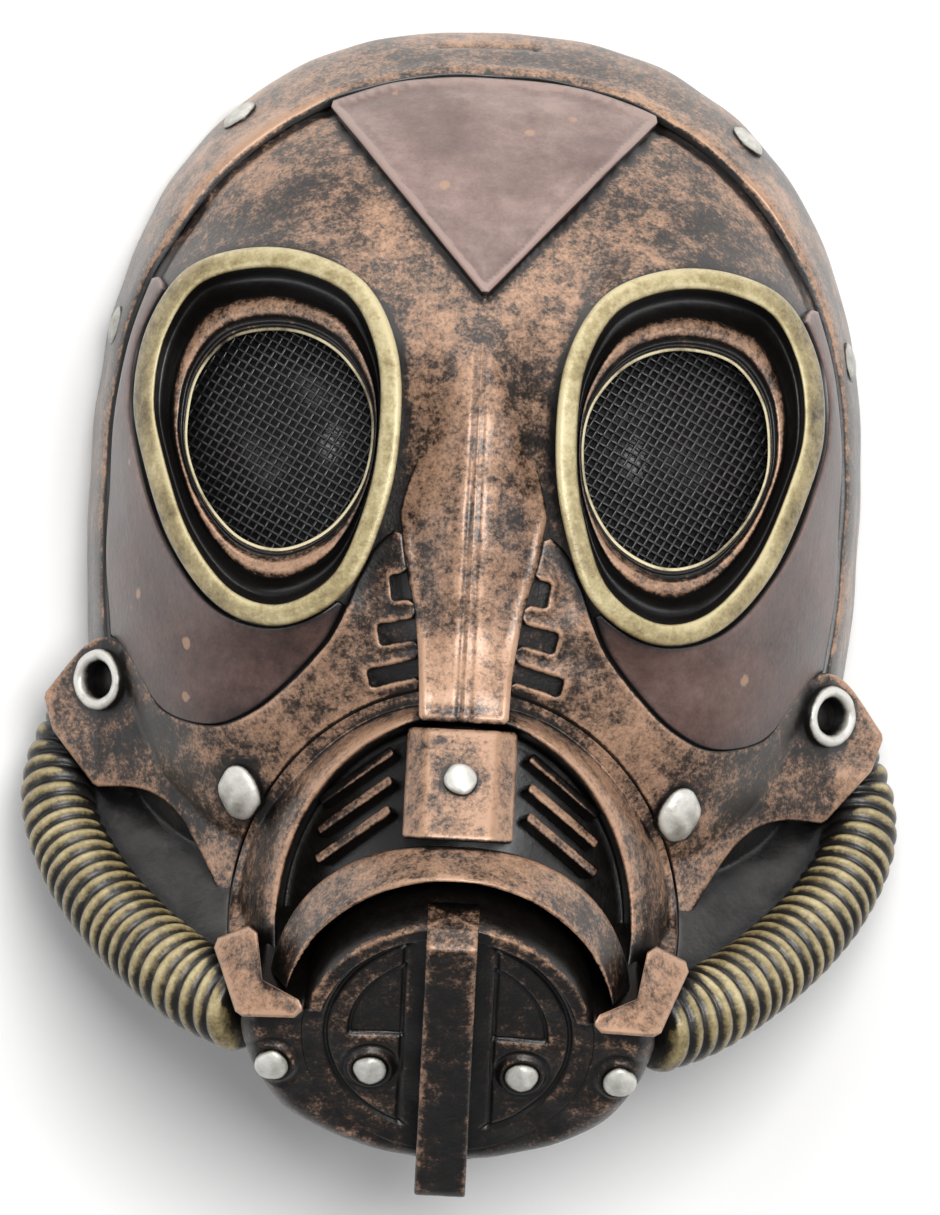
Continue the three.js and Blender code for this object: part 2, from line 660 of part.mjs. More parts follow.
// The muzzle's skin as a closed form, grown by an offset, for making it and for cutting what stands on it.
function muzzleForm(offset) {
  const skin = MUZZLE_SKIN.map((row) => mouthRing(row, row.out !== 0 ? offset : -offset, dropOf(row) - offset));
  return loft(skin).subtract(inCanFrame(frontOf(offset - CHIN_FRONT)));
}
const muzzleThrough = (grow) =>
  mouthRing({ out: 0, inward: 0 }, 1 + grow, 0).map((p) => p.setY(Math.max(p.y, MUZZLE_HOLE_END - grow)));

function makeMuzzle() {
  const hollow = loft(MUZZLE_HOLLOW.map((row) => mouthRing(row, -MUZZLE_WALL, dropOf(row) + row.floor * MOUTH_FLOOR)));
  return largest(muzzleForm(0).subtract(hollow).subtract(seat().subtract(prism(muzzleThrough(0)))).subtract(belowRim));
}

function canForm(grow) {
  return inCanFrame(canCylinder(CAN_RADIUS + grow, -CAN_DEPTH - grow, CAN_RIM.height + grow));
}

function makeCan() {
  const below = new THREE.BoxGeometry(2 * FAR, FAR, 2 * CAN_RIM.height).translate(0, CAN_RIM.end - FAR / 2, CAN_RIM.height);
  const recess = canCylinder(CAN_RADIUS - CAN_RIM.width, 0, 2 * CAN_RIM.height).add(solidOf(below));
  const hollow = canCylinder(CAN_RADIUS - MUZZLE_WALL, -2 * CAN_DEPTH, -MUZZLE_WALL);
  const body = canCylinder(CAN_RADIUS, -CAN_DEPTH, CAN_RIM.height).subtract(recess).subtract(hollow);
  return largest(inCanFrame(body).subtract(muzzleForm(CLEARANCE)).subtract(seat()).subtract(bracketForm(CLEARANCE)));
}

function chinForm(grow) {
  const half = CHIN_OUTLINE.map((row) => [row.across * CAN_RADIUS, row.up * CAN_RADIUS]);
  const loop = [...half, ...half.slice(1, -1).reverse().map(([x, y]) => [-x, y])];
  const middle = CHIN_OUTLINE[CHIN_OUTLINE.length - 1].up * CAN_RADIUS * 0.35;
  return CHIN_SECTIONS.map((row) =>
    loop.map(([x, y]) => {
      const scale = row.share * (1 + grow / CAN_RADIUS);
      return new THREE.Vector3(x * scale, middle + (y - middle) * scale, -row.back * CHIN_DEPTH + grow);
    }),
  );
}
const chinSolid = (grow) => inCanFrame(loft(chinForm(grow)));

function makeChin() {
  return largest(
    chinSolid(0)
      .subtract(chinSolid(-MUZZLE_WALL).translate(0, 0, -0.01))
      .subtract(canForm(CLEARANCE))
      .subtract(muzzleForm(CLEARANCE))
      .subtract(seat())
      .subtract(belowRim),
  );
}

function makeBar() {
  const box = new THREE.BoxGeometry(BAR.width, BAR.top - BAR.bottom, BAR.front - BAR.back);
  box.translate(0, (BAR.top + BAR.bottom) / 2, (BAR.front + BAR.back) / 2);
  const clearOfRecess = canCylinder(CAN_RADIUS - CAN_RIM.width - CLEARANCE, CLEARANCE, 3 * BAR.front);
  const body = inCanFrame(solidOf(box));
  const carrier = canForm(CLEARANCE).subtract(inCanFrame(clearOfRecess));
  return largest(body.subtract(carrier).subtract(chinSolid(CLEARANCE)));
}

// A collar, the block that a hose runs into.
function collarForm(grow) {
  const muzzleSize = new THREE.Vector3(MUZZLE_HALF_WIDTH, MUZZLE_HALF_HEIGHT, MUZZLE_CREST);
  const can = new THREE.Vector3(0, CAN_Y, CAN_Z);
  const corners = COLLAR_CORNERS.map((row) => new THREE.Vector3(row.across, row.up, row.front).multiply(muzzleSize).add(can));
  const middle = new THREE.Vector3();
  for (const corner of corners) middle.addScaledVector(corner, 1 / corners.length);
  const front = corners.map((corner) => {
    const out = new THREE.Vector3(corner.x - middle.x, corner.y - middle.y, 0).setLength(grow);
    return corner.clone().add(out.setZ(grow));
  });
  return loft([front.map((p) => p.clone().setZ(CAN_Z + COLLAR_BACK * MUZZLE_CREST - grow)), front]);
}

function makeCollar() {
  return largest(
    collarForm(0)
      .subtract(canForm(CLEARANCE))
      .subtract(chinSolid(CLEARANCE))
      .subtract(muzzleForm(CLEARANCE))
      .subtract(seat()),
  );
}

// The lip, an arch over the can.
function lipPoint({ halfWidth, height, corner }, angle, grow) {
  const reach = (value) => Math.sign(value) * Math.abs(value) ** (2 / corner);
  return [(halfWidth + grow) * reach(Math.cos(angle)), LIP_Y + (height + grow) * reach(Math.sin(angle))];
}

function makeLip() {
  const stations = 16;
  const sections = [];
  for (let i = 0; i <= stations; i++) {
    const angle = mix(radians(LIP_END_DEG), Math.PI - radians(LIP_END_DEG), i / stations);
    const outer = lipPoint(LIP_OUTER, angle, 0);
    const inner = lipPoint(LIP_INNER, angle, 0);
    const fall = LIP_END_FALL * Math.cos(angle) ** 2;
    const at = ([x, y], rise) => new THREE.Vector3(x, y, muzzleHeight(x, y) + rise);
    sections.push([at(outer, -ROOT), at(outer, LIP_RISE.upper - fall), at(inner, LIP_RISE.lower - fall), at(inner, -ROOT)]);
  }
  return largest(loft(sections).subtract(muzzleForm(CLEARANCE)).subtract(canForm(CLEARANCE)).subtract(seatAtMuzzle()).subtract(chinSolid(CLEARANCE)).subtract(collarForm(CLEARANCE)).subtract(mirrored(collarForm(CLEARANCE))));
}
const seatAtMuzzle = () => seat().subtract(prism(muzzleThrough(0)));

// The bracket between the mouth's upper edge and the lip.
function bracketForm(grow) {
  const section = (y) => {
    const lift = muzzleHeight(0, BRACKET_BOTTOM) + BRACKET.rise + BRACKET.slope * (y - BRACKET_BOTTOM) + grow;
    const rows = [
      [-BRACKET.halfBase, -ROOT],
      [-BRACKET.halfBase, -BRACKET.chamfer],
      [-BRACKET.halfFront, 0],
      [BRACKET.halfFront, 0],
      [BRACKET.halfBase, -BRACKET.chamfer],
      [BRACKET.halfBase, -ROOT],
    ];
    return rows.map(([x, z]) => new THREE.Vector3(x, y, lift + z));
  };
  return loft([section(BRACKET_BOTTOM), section(BRACKET_TOP)]);
}

// Slats on the mouth's floor, standing on one plate each side.
function makeGill() {
  const gillX = (across) => across * MOUTH_HALF_WIDTH;
  const gillY = (up) => MUZZLE_Y + up * MOUTH_HALF_HEIGHT;
  const floor = (rise) => (x, y) => muzzleHeight(x, y) - MOUTH_DEPTH + CLEARANCE + rise;
  const [left, right, low, high] = [gillX(GILL.inner), gillX(GILL.outer), gillY(GILL.low), gillY(GILL.high)];
  let made = fieldBlock(left, right, low, high, 4, 2, floor(GILL_PLATE), floor(0));
  for (let i = 0; i < SLATS; i++) {
    const [x, y] = [gillX(GILL.slatMiddle), gillY(GILL.topSlat) - i * SLAT_PITCH];
    const slat = new THREE.BoxGeometry(SLAT_SIZE.length, SLAT_SIZE.width, 2 * SLAT_SIZE.rise);
    slat.rotateZ(-radians(SLAT_SLANT_DEG)).translate(x, y, floor(GILL_PLATE)(x, y));
    made = made.add(solidOf(slat));
  }
  const bracketClaim = fieldBlock(0, BRACKET.halfBase + 2 * CLEARANCE, low - 1, FAR, 1, 1, () => FAR, () => 0);
  return largest(
    made
      .intersect(prism(mouthRing({ out: 0, inward: 0.08 }, 0, 0)))
      .subtract(muzzleForm(CLEARANCE))
      .subtract(lipClaim())
      .subtract(bracketClaim),
  );
}
function lipClaim() {
  const ring = [];
  for (let i = 0; i <= 16; i++) {
    const angle = (Math.PI * i) / 16;
    ring.push(new THREE.Vector2(...lipPoint(LIP_OUTER, angle, 2 * CLEARANCE)));
  }
  return prism(ring);
}

// The plates that lie on the face.
function onFace(outlinePrism, thickness) {
  return dome(CLEARANCE + thickness).intersect(outlinePrism).subtract(seat()).subtract(belowRim);
}

function bandRegion(grow) {
  const inner = [];
  for (let i = 0; i < FACE_AROUND; i++) {
    const edge = facePoint((i * 2 * Math.PI) / FACE_AROUND, Math.PI / 2);
    const { side } = faceShare(edge.x, edge.y);
    const share = mix(BAND_INNER_SHARE.crown, BAND_INNER_SHARE.side, side ** 2) - grow / HALF_WIDTH;
    inner.push(new THREE.Vector2(edge.x * share, BROW_Y + (edge.y - BROW_Y) * share));
  }
  const square = [[-1, -1], [1, -1], [1, 1], [-1, 1]].map(([x, y]) => new THREE.Vector2(x * FAR, y * FAR));
  const end = prism([[-1, -1], [1, -1], [1, 0], [-1, 0]].map(([x, y]) => new THREE.Vector2(x * FAR, y * FAR + BAND_END_Y)));
  return prism(square).subtract(prism(inner)).subtract(end);
}

function armFront(x, y) {
  const across = Math.abs(x) / HALF_WIDTH;
  const rows = ARM_LINE;
  let i = 0;
  while (i + 2 < rows.length && across > rows[i + 1].across) i++;
  const t = (across - rows[i].across) / (rows[i + 1].across - rows[i].across);
  const line = mix(rows[i].height, rows[i + 1].height, t) * FACE_DEPTH;
  const lying = faceHeight(x, y) + CLEARANCE + ARM_THICKNESS;
  return across < rows[0].across ? lying : Math.max(lying, line);
}

function armForm(grow) {
  const x0 = 0.06 * HALF_WIDTH;
  const front = (x, y) => armFront(x, y) + grow;
  const back = (x, y) => Math.min(armFront(x, y) - FLANGE_THICKNESS, armFront(x, y)) - grow;
  const block = fieldBlock(x0, 1.16 * HALF_WIDTH, faceY(-0.75), faceY(0.0), 12, 9, front, back);
  const outline = faceOutline(ARM_PLATE);
  return block.intersect(prism(grow ? grownOutline(outline, grow) : outline));
}

function grownOutline(outline, grow) {
  const points = outline.map((p) => new THREE.Vector3(p.x, p.y, 0));
  const area = THREE.ShapeUtils.area(outline);
  return inset(points, area > 0 ? -grow : grow);
}

const armClaim = () => prism(grownOutline(faceOutline(ARM_PLATE), CLEARANCE));

function ventSlot(row) {
  const box = new THREE.BoxGeometry(2 * row.halfAcross * HALF_WIDTH, 2 * row.halfUp * JAW_DROP, 2 * FAR);
  box.rotateZ(radians(row.slantDeg)).translate(faceX(row.across), faceY(row.up), 0);
  return solidOf(box);
}

const nosePlateRegion = (grow) => prism(grow ? grownOutline(bothSides(NOSE_PLATE), grow) : bothSides(NOSE_PLATE));
const muzzleClaim = () => prism(mouthRing({ out: 1, inward: 0 }, 2 * CLEARANCE, 0));

function makeArm() {
  let arm = armForm(0).subtract(seat()).subtract(eyeClaim()).subtract(muzzleClaim()).subtract(nosePlateRegion(2 * CLEARANCE));
  for (const row of VENT_SLOTS) arm = arm.subtract(ventSlot(row));
  return largest(arm.subtract(dome(CLEARANCE + BAND_THICKNESS + CLEARANCE).intersect(bandRegion(CLEARANCE))));
}

function makeCheekPanel() {
  const outline = faceOutline(CHEEK_PANEL);
  return largest(
    onFace(prism(outline), PANEL_THICKNESS)
      .subtract(eyeClaim())
      .subtract(bandRegion(CLEARANCE))
      .subtract(armClaim())
      .subtract(muzzleClaim()),
  );
}

// The web of the jaw, from the arm's lower edge to the hose.
function jawFront(x, y) {
  const lying = faceHeightPlain(x, y) + CLEARANCE + PANEL_THICKNESS;
  const plane = JAW.height + JAW.slopeOut * (faceX(JAW.across) - x) + JAW.slopeUp * (faceY(JAW.up) - y);
  return Math.max(lying, Math.min(plane, JAW.crest));
}

function makeJawPanel() {
  const back = (x, y) => jawFront(x, y) - WALL;
  const block = fieldBlock(0.5 * HALF_WIDTH, 1.05 * HALF_WIDTH, faceY(-0.86), faceY(-0.44), 8, 8, jawFront, back);
  return largest(
    block
      .intersect(prism(faceOutline(JAW_PANEL)))
      .subtract(seat())
      .subtract(armClaim())
      .subtract(hoseForm(CLEARANCE, false))
      .subtract(muzzleClaim())
      .subtract(collarForm(CLEARANCE))
      .subtract(chinSolid(CLEARANCE)),
  );
}

// A hose: cast solid along its route, with ribs or plain.
function hoseForm(grow, ribbed) {
  const curve = new THREE.CatmullRomCurve3(
    HOSE_ROUTE.map((row) => new THREE.Vector3(faceX(row.across), faceY(row.up), row.height * FACE_DEPTH)),
    false,
    "catmullrom",
    0.5,
  );
  const steps = ribbed ? 2 * HOSE_RIBS : HOSE_RIBS / 2;
  const frames = curve.computeFrenetFrames(steps, false);
  const sections = [];
  for (let i = 0; i <= steps; i++) {
    const centre = curve.getPointAt(i / steps);
    const crest = mix(HOSE_RADIUS.flange, HOSE_RADIUS.collar, i / steps);
    const radius = crest + grow - (ribbed && i % 2 === 0 ? HOSE_RIB_HEIGHT : 0);
    const section = [];
    for (let j = 0; j < HOSE_SIDES; j++) {
      const angle = (j * 2 * Math.PI) / HOSE_SIDES;
      section.push(
        centre
          .clone()
          .addScaledVector(frames.normals[i], radius * Math.cos(angle))
          .addScaledVector(frames.binormals[i], radius * Math.sin(angle)),
      );
    }
    sections.push(section);
  }
  return loft(sections);
}

function makeHose() {
  return largest(
    hoseForm(0, true)
      .subtract(armForm(CLEARANCE))
      .subtract(collarForm(CLEARANCE))
      .subtract(chinSolid(CLEARANCE))
      .subtract(muzzleForm(CLEARANCE))
      .subtract(dome(CLEARANCE + BAND_THICKNESS + CLEARANCE))
      .subtract(belowRim),
  );
}

// A rivet's domed head with a deep root, which its carrier then cuts off.
function rivetHead({ radius, height }) {
  const profile = [new THREE.Vector2(0, -4 * height), new THREE.Vector2(radius, -4 * height)];
  const steps = 3;
  for (let i = 0; i <= steps; i++) {
    const angle = (Math.PI / 2) * (i / steps);
    profile.push(new THREE.Vector2(i === steps ? 0 : radius * Math.cos(angle), height * (0.25 + 0.75 * Math.sin(angle))));
  }
  return solidOf(new THREE.LatheGeometry(profile, RIVET_SIDES).rotateX(Math.PI / 2));
}

function placedAt(solid, point, normal) {
  const turn = new THREE.Quaternion().setFromUnitVectors(new THREE.Vector3(0, 0, 1), normal.clone().normalize());
  const place = new THREE.Matrix4().compose(point, turn, new THREE.Vector3(1, 1, 1));
  return solid.transform(place.elements);
}

function surfaceNormal(height, x, y) {
  const step = 2;
  const slopeX = (height(x + step, y) - height(x - step, y)) / (2 * step);
  const slopeY = (height(x, y + step) - height(x, y - step)) / (2 * step);
  return new THREE.Vector3(-slopeX, -slopeY, 1).normalize();
}

function bandRivet({ across, up }) {
  const [x, y] = [faceX(across), faceY(up)];
  const normal = surfaceNormal(faceHeight, x, y);
  const rise = CLEARANCE + BAND_THICKNESS + CLEARANCE;
  const point = new THREE.Vector3(x, y, faceHeight(x, y)).addScaledVector(normal, rise);
  return largest(placedAt(rivetHead(BAND_RIVET), point, normal).subtract(dome(rise)));
}

function armRivet() {
  const x = faceX(ARM_RIVET_AT.across);
  const y = faceY(ARM_RIVET_AT.up);
  const normal = surfaceNormal(armFront, x, y);
  const point = new THREE.Vector3(x, y, armFront(x, y) + CLEARANCE);
  return largest(placedAt(rivetHead(ARM_RIVET), point, normal).subtract(armForm(CLEARANCE)).subtract(muzzleForm(CLEARANCE)).subtract(seat()));
}

function makeEyelet() {
  const { outer, hole, height } = EYELET;
  const profile = [
    [hole, -height],
    [outer, -height],
    [outer, 0.5 * height],
    [mix(hole, outer, 0.75), height],
    [mix(hole, outer, 0.3), height],
    [hole, 0.5 * height],
    [hole, -height],
  ].map(([r, z]) => new THREE.Vector2(r, z));
  const ring = solidOf(new THREE.LatheGeometry(profile, EYELET_SIDES).rotateX(Math.PI / 2));
  const x = faceX(EYELET_AT.across);
  const y = faceY(EYELET_AT.up);
  const point = new THREE.Vector3(x, y, armFront(x, y) + CLEARANCE);
  return largest(placedAt(ring, point, surfaceNormal(armFront, x, y)).subtract(armForm(CLEARANCE)));
}

function canRivet({ across, up }, carrier) {
  const head = rivetHead(SMALL_RIVET).translate(across * CAN_RADIUS, up * CAN_RADIUS, CLEARANCE);
  return largest(inCanFrame(head).subtract(carrier));
}
const canFace = () => inCanFrame(canCylinder(CAN_RADIUS, -CAN_DEPTH, CLEARANCE));

function bracketRivet() {
  const y = mix(BRACKET_TOP, BRACKET_BOTTOM, 0.46);
  const height = (x, at) => muzzleHeight(0, BRACKET_BOTTOM) + BRACKET.rise + BRACKET.slope * (at - BRACKET_BOTTOM);
  const point = new THREE.Vector3(0, y, height(0, y) + CLEARANCE);
  return largest(placedAt(rivetHead(SMALL_RIVET), point, surfaceNormal(height, 0, y)).subtract(bracketForm(CLEARANCE)));
}

// The assembly.
const mask = new THREE.Group();
function add(name, solid, paint) {
  const mesh = new THREE.Mesh(geometryOf(solid), paint);
  mesh.name = name;
  mask.add(mesh);
}
const mirrored = (solid) => solid.mirror([1, 0, 0]);
function addPair(name, solid, paint) {
  add(name + "_left", solid, paint);
  add(name + "_right", mirrored(solid), paint);
}

function makeShell() {
  const hollow = dome(-WALL);
  const eyes = prism(eyeHole).add(mirrored(prism(eyeHole)));
  return largest(dome(0).subtract(hollow).subtract(belowRim).subtract(eyes).subtract(prism(muzzleThrough(0.5))));
}

add("face_shell", makeShell(), PAINT.bronze);
add(
  "rim_band",
  largest(onFace(bandRegion(0), BAND_THICKNESS).subtract(eyeClaim()).subtract(mirrored(eyeClaim()))),
  PAINT.bronze,
);
add("forehead_panel", largest(onFace(prism(bothSides(FOREHEAD_PANEL)), PANEL_THICKNESS).subtract(bandRegion(CLEARANCE))), PAINT.leather);
add(
  "nose_plate",
  largest(
    onFace(nosePlateRegion(0), NOSE_PLATE_THICKNESS)
      .subtract(eyeClaim())
      .subtract(mirrored(eyeClaim()))
      .subtract(muzzleClaim())
      .subtract(prism(bothSides(FOREHEAD_PANEL))),
  ),
  PAINT.bronze,
);
addPair("eye_frame", makeEyeFrame(), PAINT.bronze);
addPair("eye_ring", eyeLoft(RING_SECTION), PAINT.brass);
addPair("eye_mesh", makeEyeMesh(), PAINT.black);
addPair("arm_plate", makeArm(), PAINT.bronze);
addPair("cheek_panel", makeCheekPanel(), PAINT.leather);
addPair("jaw_panel", makeJawPanel(), PAINT.black);
add("muzzle", makeMuzzle(), PAINT.bronze);
add("chin", makeChin(), PAINT.bronze);
add("filter_can", makeCan(), PAINT.bronze);
add("filter_bar", makeBar(), PAINT.bronze);
add("mouth_lip", makeLip(), PAINT.bronze);
add("mouth_bracket", largest(bracketForm(0).subtract(muzzleForm(CLEARANCE)).subtract(seatAtMuzzle())), PAINT.bronze);
addPair("mouth_gill", makeGill(), PAINT.bronze);
addPair("hose_collar", makeCollar(), PAINT.bronze);
addPair("hose", makeHose(), PAINT.brass);
addPair("eyelet", makeEyelet(), PAINT.silver);
addPair("band_rivet_upper", bandRivet(BAND_RIVETS_AT.upper), PAINT.silver);
addPair("band_rivet_side", bandRivet(BAND_RIVETS_AT.side), PAINT.silver);
addPair("arm_rivet", armRivet(), PAINT.silver);
addPair("can_rivet", canRivet(CAN_RIVET_AT, canFace()), PAINT.silver);
addPair("chin_rivet", canRivet(CHIN_RIVET_AT, chinSolid(CLEARANCE)), PAINT.silver);
add("bracket_rivet", bracketRivet(), PAINT.silver);

// The origin is the middle of the mask's box, on the back rim's plane.
mask.updateMatrixWorld(true);
const box = new THREE.Box3().setFromObject(mask);
mask.position.set(-(box.min.x + box.max.x) / 2, -(box.min.y + box.max.y) / 2, -box.min.z);

export default mask;
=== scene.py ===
# The looks of the costume mask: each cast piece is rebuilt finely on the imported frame, from the same
# forms as its solid, and painted. Millimetres in the making, metres in the scene.
import math

import bpy
import numpy as np
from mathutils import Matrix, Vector


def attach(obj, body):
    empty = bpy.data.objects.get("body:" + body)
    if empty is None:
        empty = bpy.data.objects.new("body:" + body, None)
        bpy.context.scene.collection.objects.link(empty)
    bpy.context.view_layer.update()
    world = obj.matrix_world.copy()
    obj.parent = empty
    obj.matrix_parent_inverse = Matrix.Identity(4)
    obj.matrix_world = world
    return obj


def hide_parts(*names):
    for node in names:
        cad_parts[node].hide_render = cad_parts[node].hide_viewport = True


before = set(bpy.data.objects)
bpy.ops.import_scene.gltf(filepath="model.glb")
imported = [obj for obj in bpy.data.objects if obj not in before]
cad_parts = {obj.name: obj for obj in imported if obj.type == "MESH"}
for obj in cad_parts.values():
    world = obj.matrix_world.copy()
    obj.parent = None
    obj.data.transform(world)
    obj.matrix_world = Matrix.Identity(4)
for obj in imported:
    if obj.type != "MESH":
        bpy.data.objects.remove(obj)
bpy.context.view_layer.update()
MM = 0.001
SHIFT_Y = 0.09  # from the part's source to its packed place

# Sizes of the part, as in its source.
HALF_WIDTH, CROWN_RISE, JAW_DROP, FACE_DEPTH = 97.0, 117.0, 160.0, 95.0
WALL, CLEARANCE, FACE_CORNER, BROW_Y = 2.8, 0.3, 2.35, 30.0
SIDE_SPREAD, SIDE_DROP, CROWN_SPREAD, CROWN_DROP = 3.0, 1.9, 2.2, 1.3
NOSE_HEIGHT, NOSE_SPREAD, NOSE_TOP_Y = 8.0, 14.0, 46.0
BAND_THICKNESS, BAND_CROWN_SHARE, BAND_SIDE_SHARE, BAND_END_Y = 2.5, 0.905, 0.96, -28.0
PANEL_THICKNESS, NOSE_PLATE_THICKNESS, ARM_THICKNESS, FLANGE_THICKNESS = 1.4, 2.2, 3.2, 10.0
BAND_RIVET = (5.3, 2.2)
ARM_RIVET = (6.8, 4.0)
SMALL_RIVET = (4.4, 2.6)
EYELET_OUTER, EYELET_HOLE, EYELET_HEIGHT = 8.0, 4.7, 3.0
EYE_X, EYE_Y, EYE_HALF_WIDTH, EYE_HALF_HEIGHT = 54.0, 42.0, 34.0, 47.7
EYE_RING_WIDTH, EYE_RING_HEIGHT, EYE_LIFT = 4.8, 4.6, 7.0
EYE_SLOPE_OUT, EYE_SLOPE_UP = -0.5, -0.12
LENS_X, LENS_Y, LENS_HALF_WIDTH, LENS_HALF_HEIGHT = 50.5, 41.0, 24.0, 28.0
DISH_DEPTH, MESH_DROP = 13.0, 0.9
CAN_TILT = math.radians(38)
CAN_Y, CAN_Z, CAN_RADIUS, CAN_DEPTH = -108.0, 110.0, 37.0, 16.5
MUZZLE_Y, MUZZLE_HALF_WIDTH, MUZZLE_HALF_HEIGHT, MUZZLE_CREST = -80.0, 57.0, 60.0, 104.0
MUZZLE_ROUND_ACROSS, MUZZLE_ROUND_ALONG = 18.0, 4.0
MOUTH_HALF_WIDTH, MOUTH_HALF_HEIGHT, MUZZLE_DEPTH, MOUTH_DEPTH = 45.0, 53.0, 84.0, 13.0
MUZZLE_WALL, MUZZLE_HOLE_END = 3.0, -112.0
LIP_INNER = (CAN_RADIUS + 5, CAN_RADIUS - 0.5, 2.0)
LIP_OUTER = (CAN_RADIUS + 9.5, CAN_RADIUS + 8, 2.4)
LIP_Y, LIP_UPPER, LIP_LOWER, LIP_END_FALL, LIP_END = CAN_Y + 3, 18.0, 31.0, 6.0, math.radians(11)
BRACKET_FRONT, BRACKET_BASE, BRACKET_RISE, BRACKET_CHAMFER, BRACKET_SLOPE = 9.0, 14.0, 18.0, 6.0, -0.46
BRACKET_TOP = MUZZLE_Y + 0.943 * MOUTH_HALF_HEIGHT
BRACKET_BOTTOM = LIP_Y + LIP_OUTER[1] + 1.6
CAN_RIM_WIDTH, CAN_RIM_HEIGHT, CAN_RIM_END = 4.0, 2.6, 7.6
BAR_WIDTH, BAR_TOP, BAR_BOTTOM, BAR_FRONT = 13.0, 36.0, -47.0, 8.0
CHIN_DEPTH, CHIN_FRONT = 46.0, 10.0
HOSE_FLANGE_RADIUS, HOSE_COLLAR_RADIUS, HOSE_RIB_HEIGHT = 9.6, 11.6, 1.6

# What only the picture shows.
EYE_STATIONS, MOUTH_STATIONS, CAN_STATIONS = 200, 200, 360
HOSE_RIBS, STEPS_A_RIB = 26, 10
NET_PITCH = 2.1
NET_WIRE = 0.36
NET_TURN = math.radians(28)
SLATS, SLAT_PITCH, SLAT_LENGTH, SLAT_WIDTH, SLAT_RISE = 3, 7.5, 26.0, 2.6, 5.0
SLAT_SLANT = math.radians(38)
SLAT_MIDDLE = (0.578, 0.679)  # shares of the mouth's half sizes
CRACK_WIDTH, BAR_CLEAR, CAN_EDGE = 0.5, 11.5, 0.6
DISC_GROOVE_RADIUS, POCKET_RADIUS = 31, 25
BAR_ROOT = -8.0
# Way from the bar's end, and front there: it rises at its foot and falls away over the can's rim.
BAR_FOOT = [(0, 5.5), (0.4, 7.0), (1.4, 7.8), (3, BAR_FRONT)]
BAR_HEAD = [(-1.8, BAR_FRONT - 0.1), (-1.3, BAR_FRONT - 0.5), (-0.4, 6.0), (0.5, 4.2), (0.9, 3.2), (1, 2.2)]

# Outlines, in shares of the sizes that they follow; a third column of 1 marks a sharp corner.
EYE_OUTLINE = [
    (1, 0.2), (0.92, 0.56), (0.66, 0.86), (0.22, 0.985), (-0.26, 0.975), (-0.7, 0.82), (-0.95, 0.48),
    (-1, 0.05), (-0.92, -0.37), (-0.68, -0.79), (-0.22, -1), (0.26, -0.93), (0.66, -0.6), (0.92, -0.12),
]
LENS_OUTLINE = [
    (1, 0.15), (0.91, 0.55), (0.62, 0.88), (0.22, 1), (-0.22, 0.98), (-0.62, 0.8), (-0.92, 0.45),
    (-1, 0.05), (-0.9, -0.4), (-0.58, -0.8), (-0.1, -1), (0.36, -0.92), (0.74, -0.6), (0.96, -0.2),
]
# Shares of the face: across of HALF_WIDTH, up of CROWN_RISE above the brow and of JAW_DROP below it.
FOREHEAD_PANEL = [(0, 0.42, 1), (0.47, 0.86, 1), (0.42, 1.04, 1), (-0.42, 1.04, 1), (-0.47, 0.86, 1)]
NOSE_PLATE = [
    (0, 0.4, 1), (0.045, 0.33), (0.09, 0.27), (0.15, 0.1), (0.186, -0.035, 1), (0.166, -0.113),
    (0.135, -0.188), (0.114, -0.281), (0.108, -0.362, 1),
]
CHEEK_PANEL = [
    (0.87, 0.45), (0.7, 0.1), (0.5, -0.14), (0.27, -0.18), (0.39, -0.31), (0.47, -0.37), (0.63, -0.42),
    (0.8, -0.41), (0.9, -0.31), (1.05, -0.2), (1.05, 0.2),
]
ARM_PLATE = [
    (0.15, -0.04, 1), (0.26, -0.1), (0.34, -0.219), (0.392, -0.269), (0.474, -0.325), (0.546, -0.363),
    (0.629, -0.388), (0.711, -0.388), (0.794, -0.369), (0.845, -0.325), (0.887, -0.284), (0.938, -0.259),
    (1.01, -0.275), (1.113, -0.356, 1), (1.085, -0.412, 1), (0.965, -0.5, 1), (0.866, -0.497),
    (0.794, -0.509), (0.732, -0.541), (0.675, -0.594), (0.624, -0.656), (0.598, -0.706, 1), (0.46, -0.69, 1),
    (0.3, -0.5), (0.1, -0.4, 1),
]
JAW_PANEL = [
    (0.97, -0.47), (0.85, -0.47), (0.76, -0.49), (0.68, -0.53), (0.6, -0.6), (0.56, -0.68), (0.56, -0.82),
    (0.72, -0.775), (0.83, -0.715), (0.92, -0.645), (0.98, -0.57),
]
# Shares of CAN_RADIUS in the can's plane.
CHIN_OUTLINE = [
    (0, 0.5, 1), (0.9, 0.3, 1), (1.1, 0.16), (1.36, 0.12, 1), (1.42, -0.06), (1.34, -0.38), (1.12, -0.76),
    (0.8, -0.98), (0.42, -1.12), (0, -1.17),
]
BAND_RIVETS = {"upper": (0.66, 0.79), "side": (0.948, 0.325)}
ARM_RIVET_AT, EYELET_AT = (0.572, -0.494), (0.96, -0.328)
# Middle, half sizes and slant of the vent slots.
VENT_SLOTS = [
    (0.191, -0.291, 0.064, 0.0135, -16), (0.186, -0.226, 0.047, 0.016, -12), (0.186, -0.155, 0.02, 0.02, -8),
]
ARM_LINE = [(0.55, 0.7), (0.72, 0.6), (0.85, 0.49), (0.97, 0.38), (1.15, 0.3)]
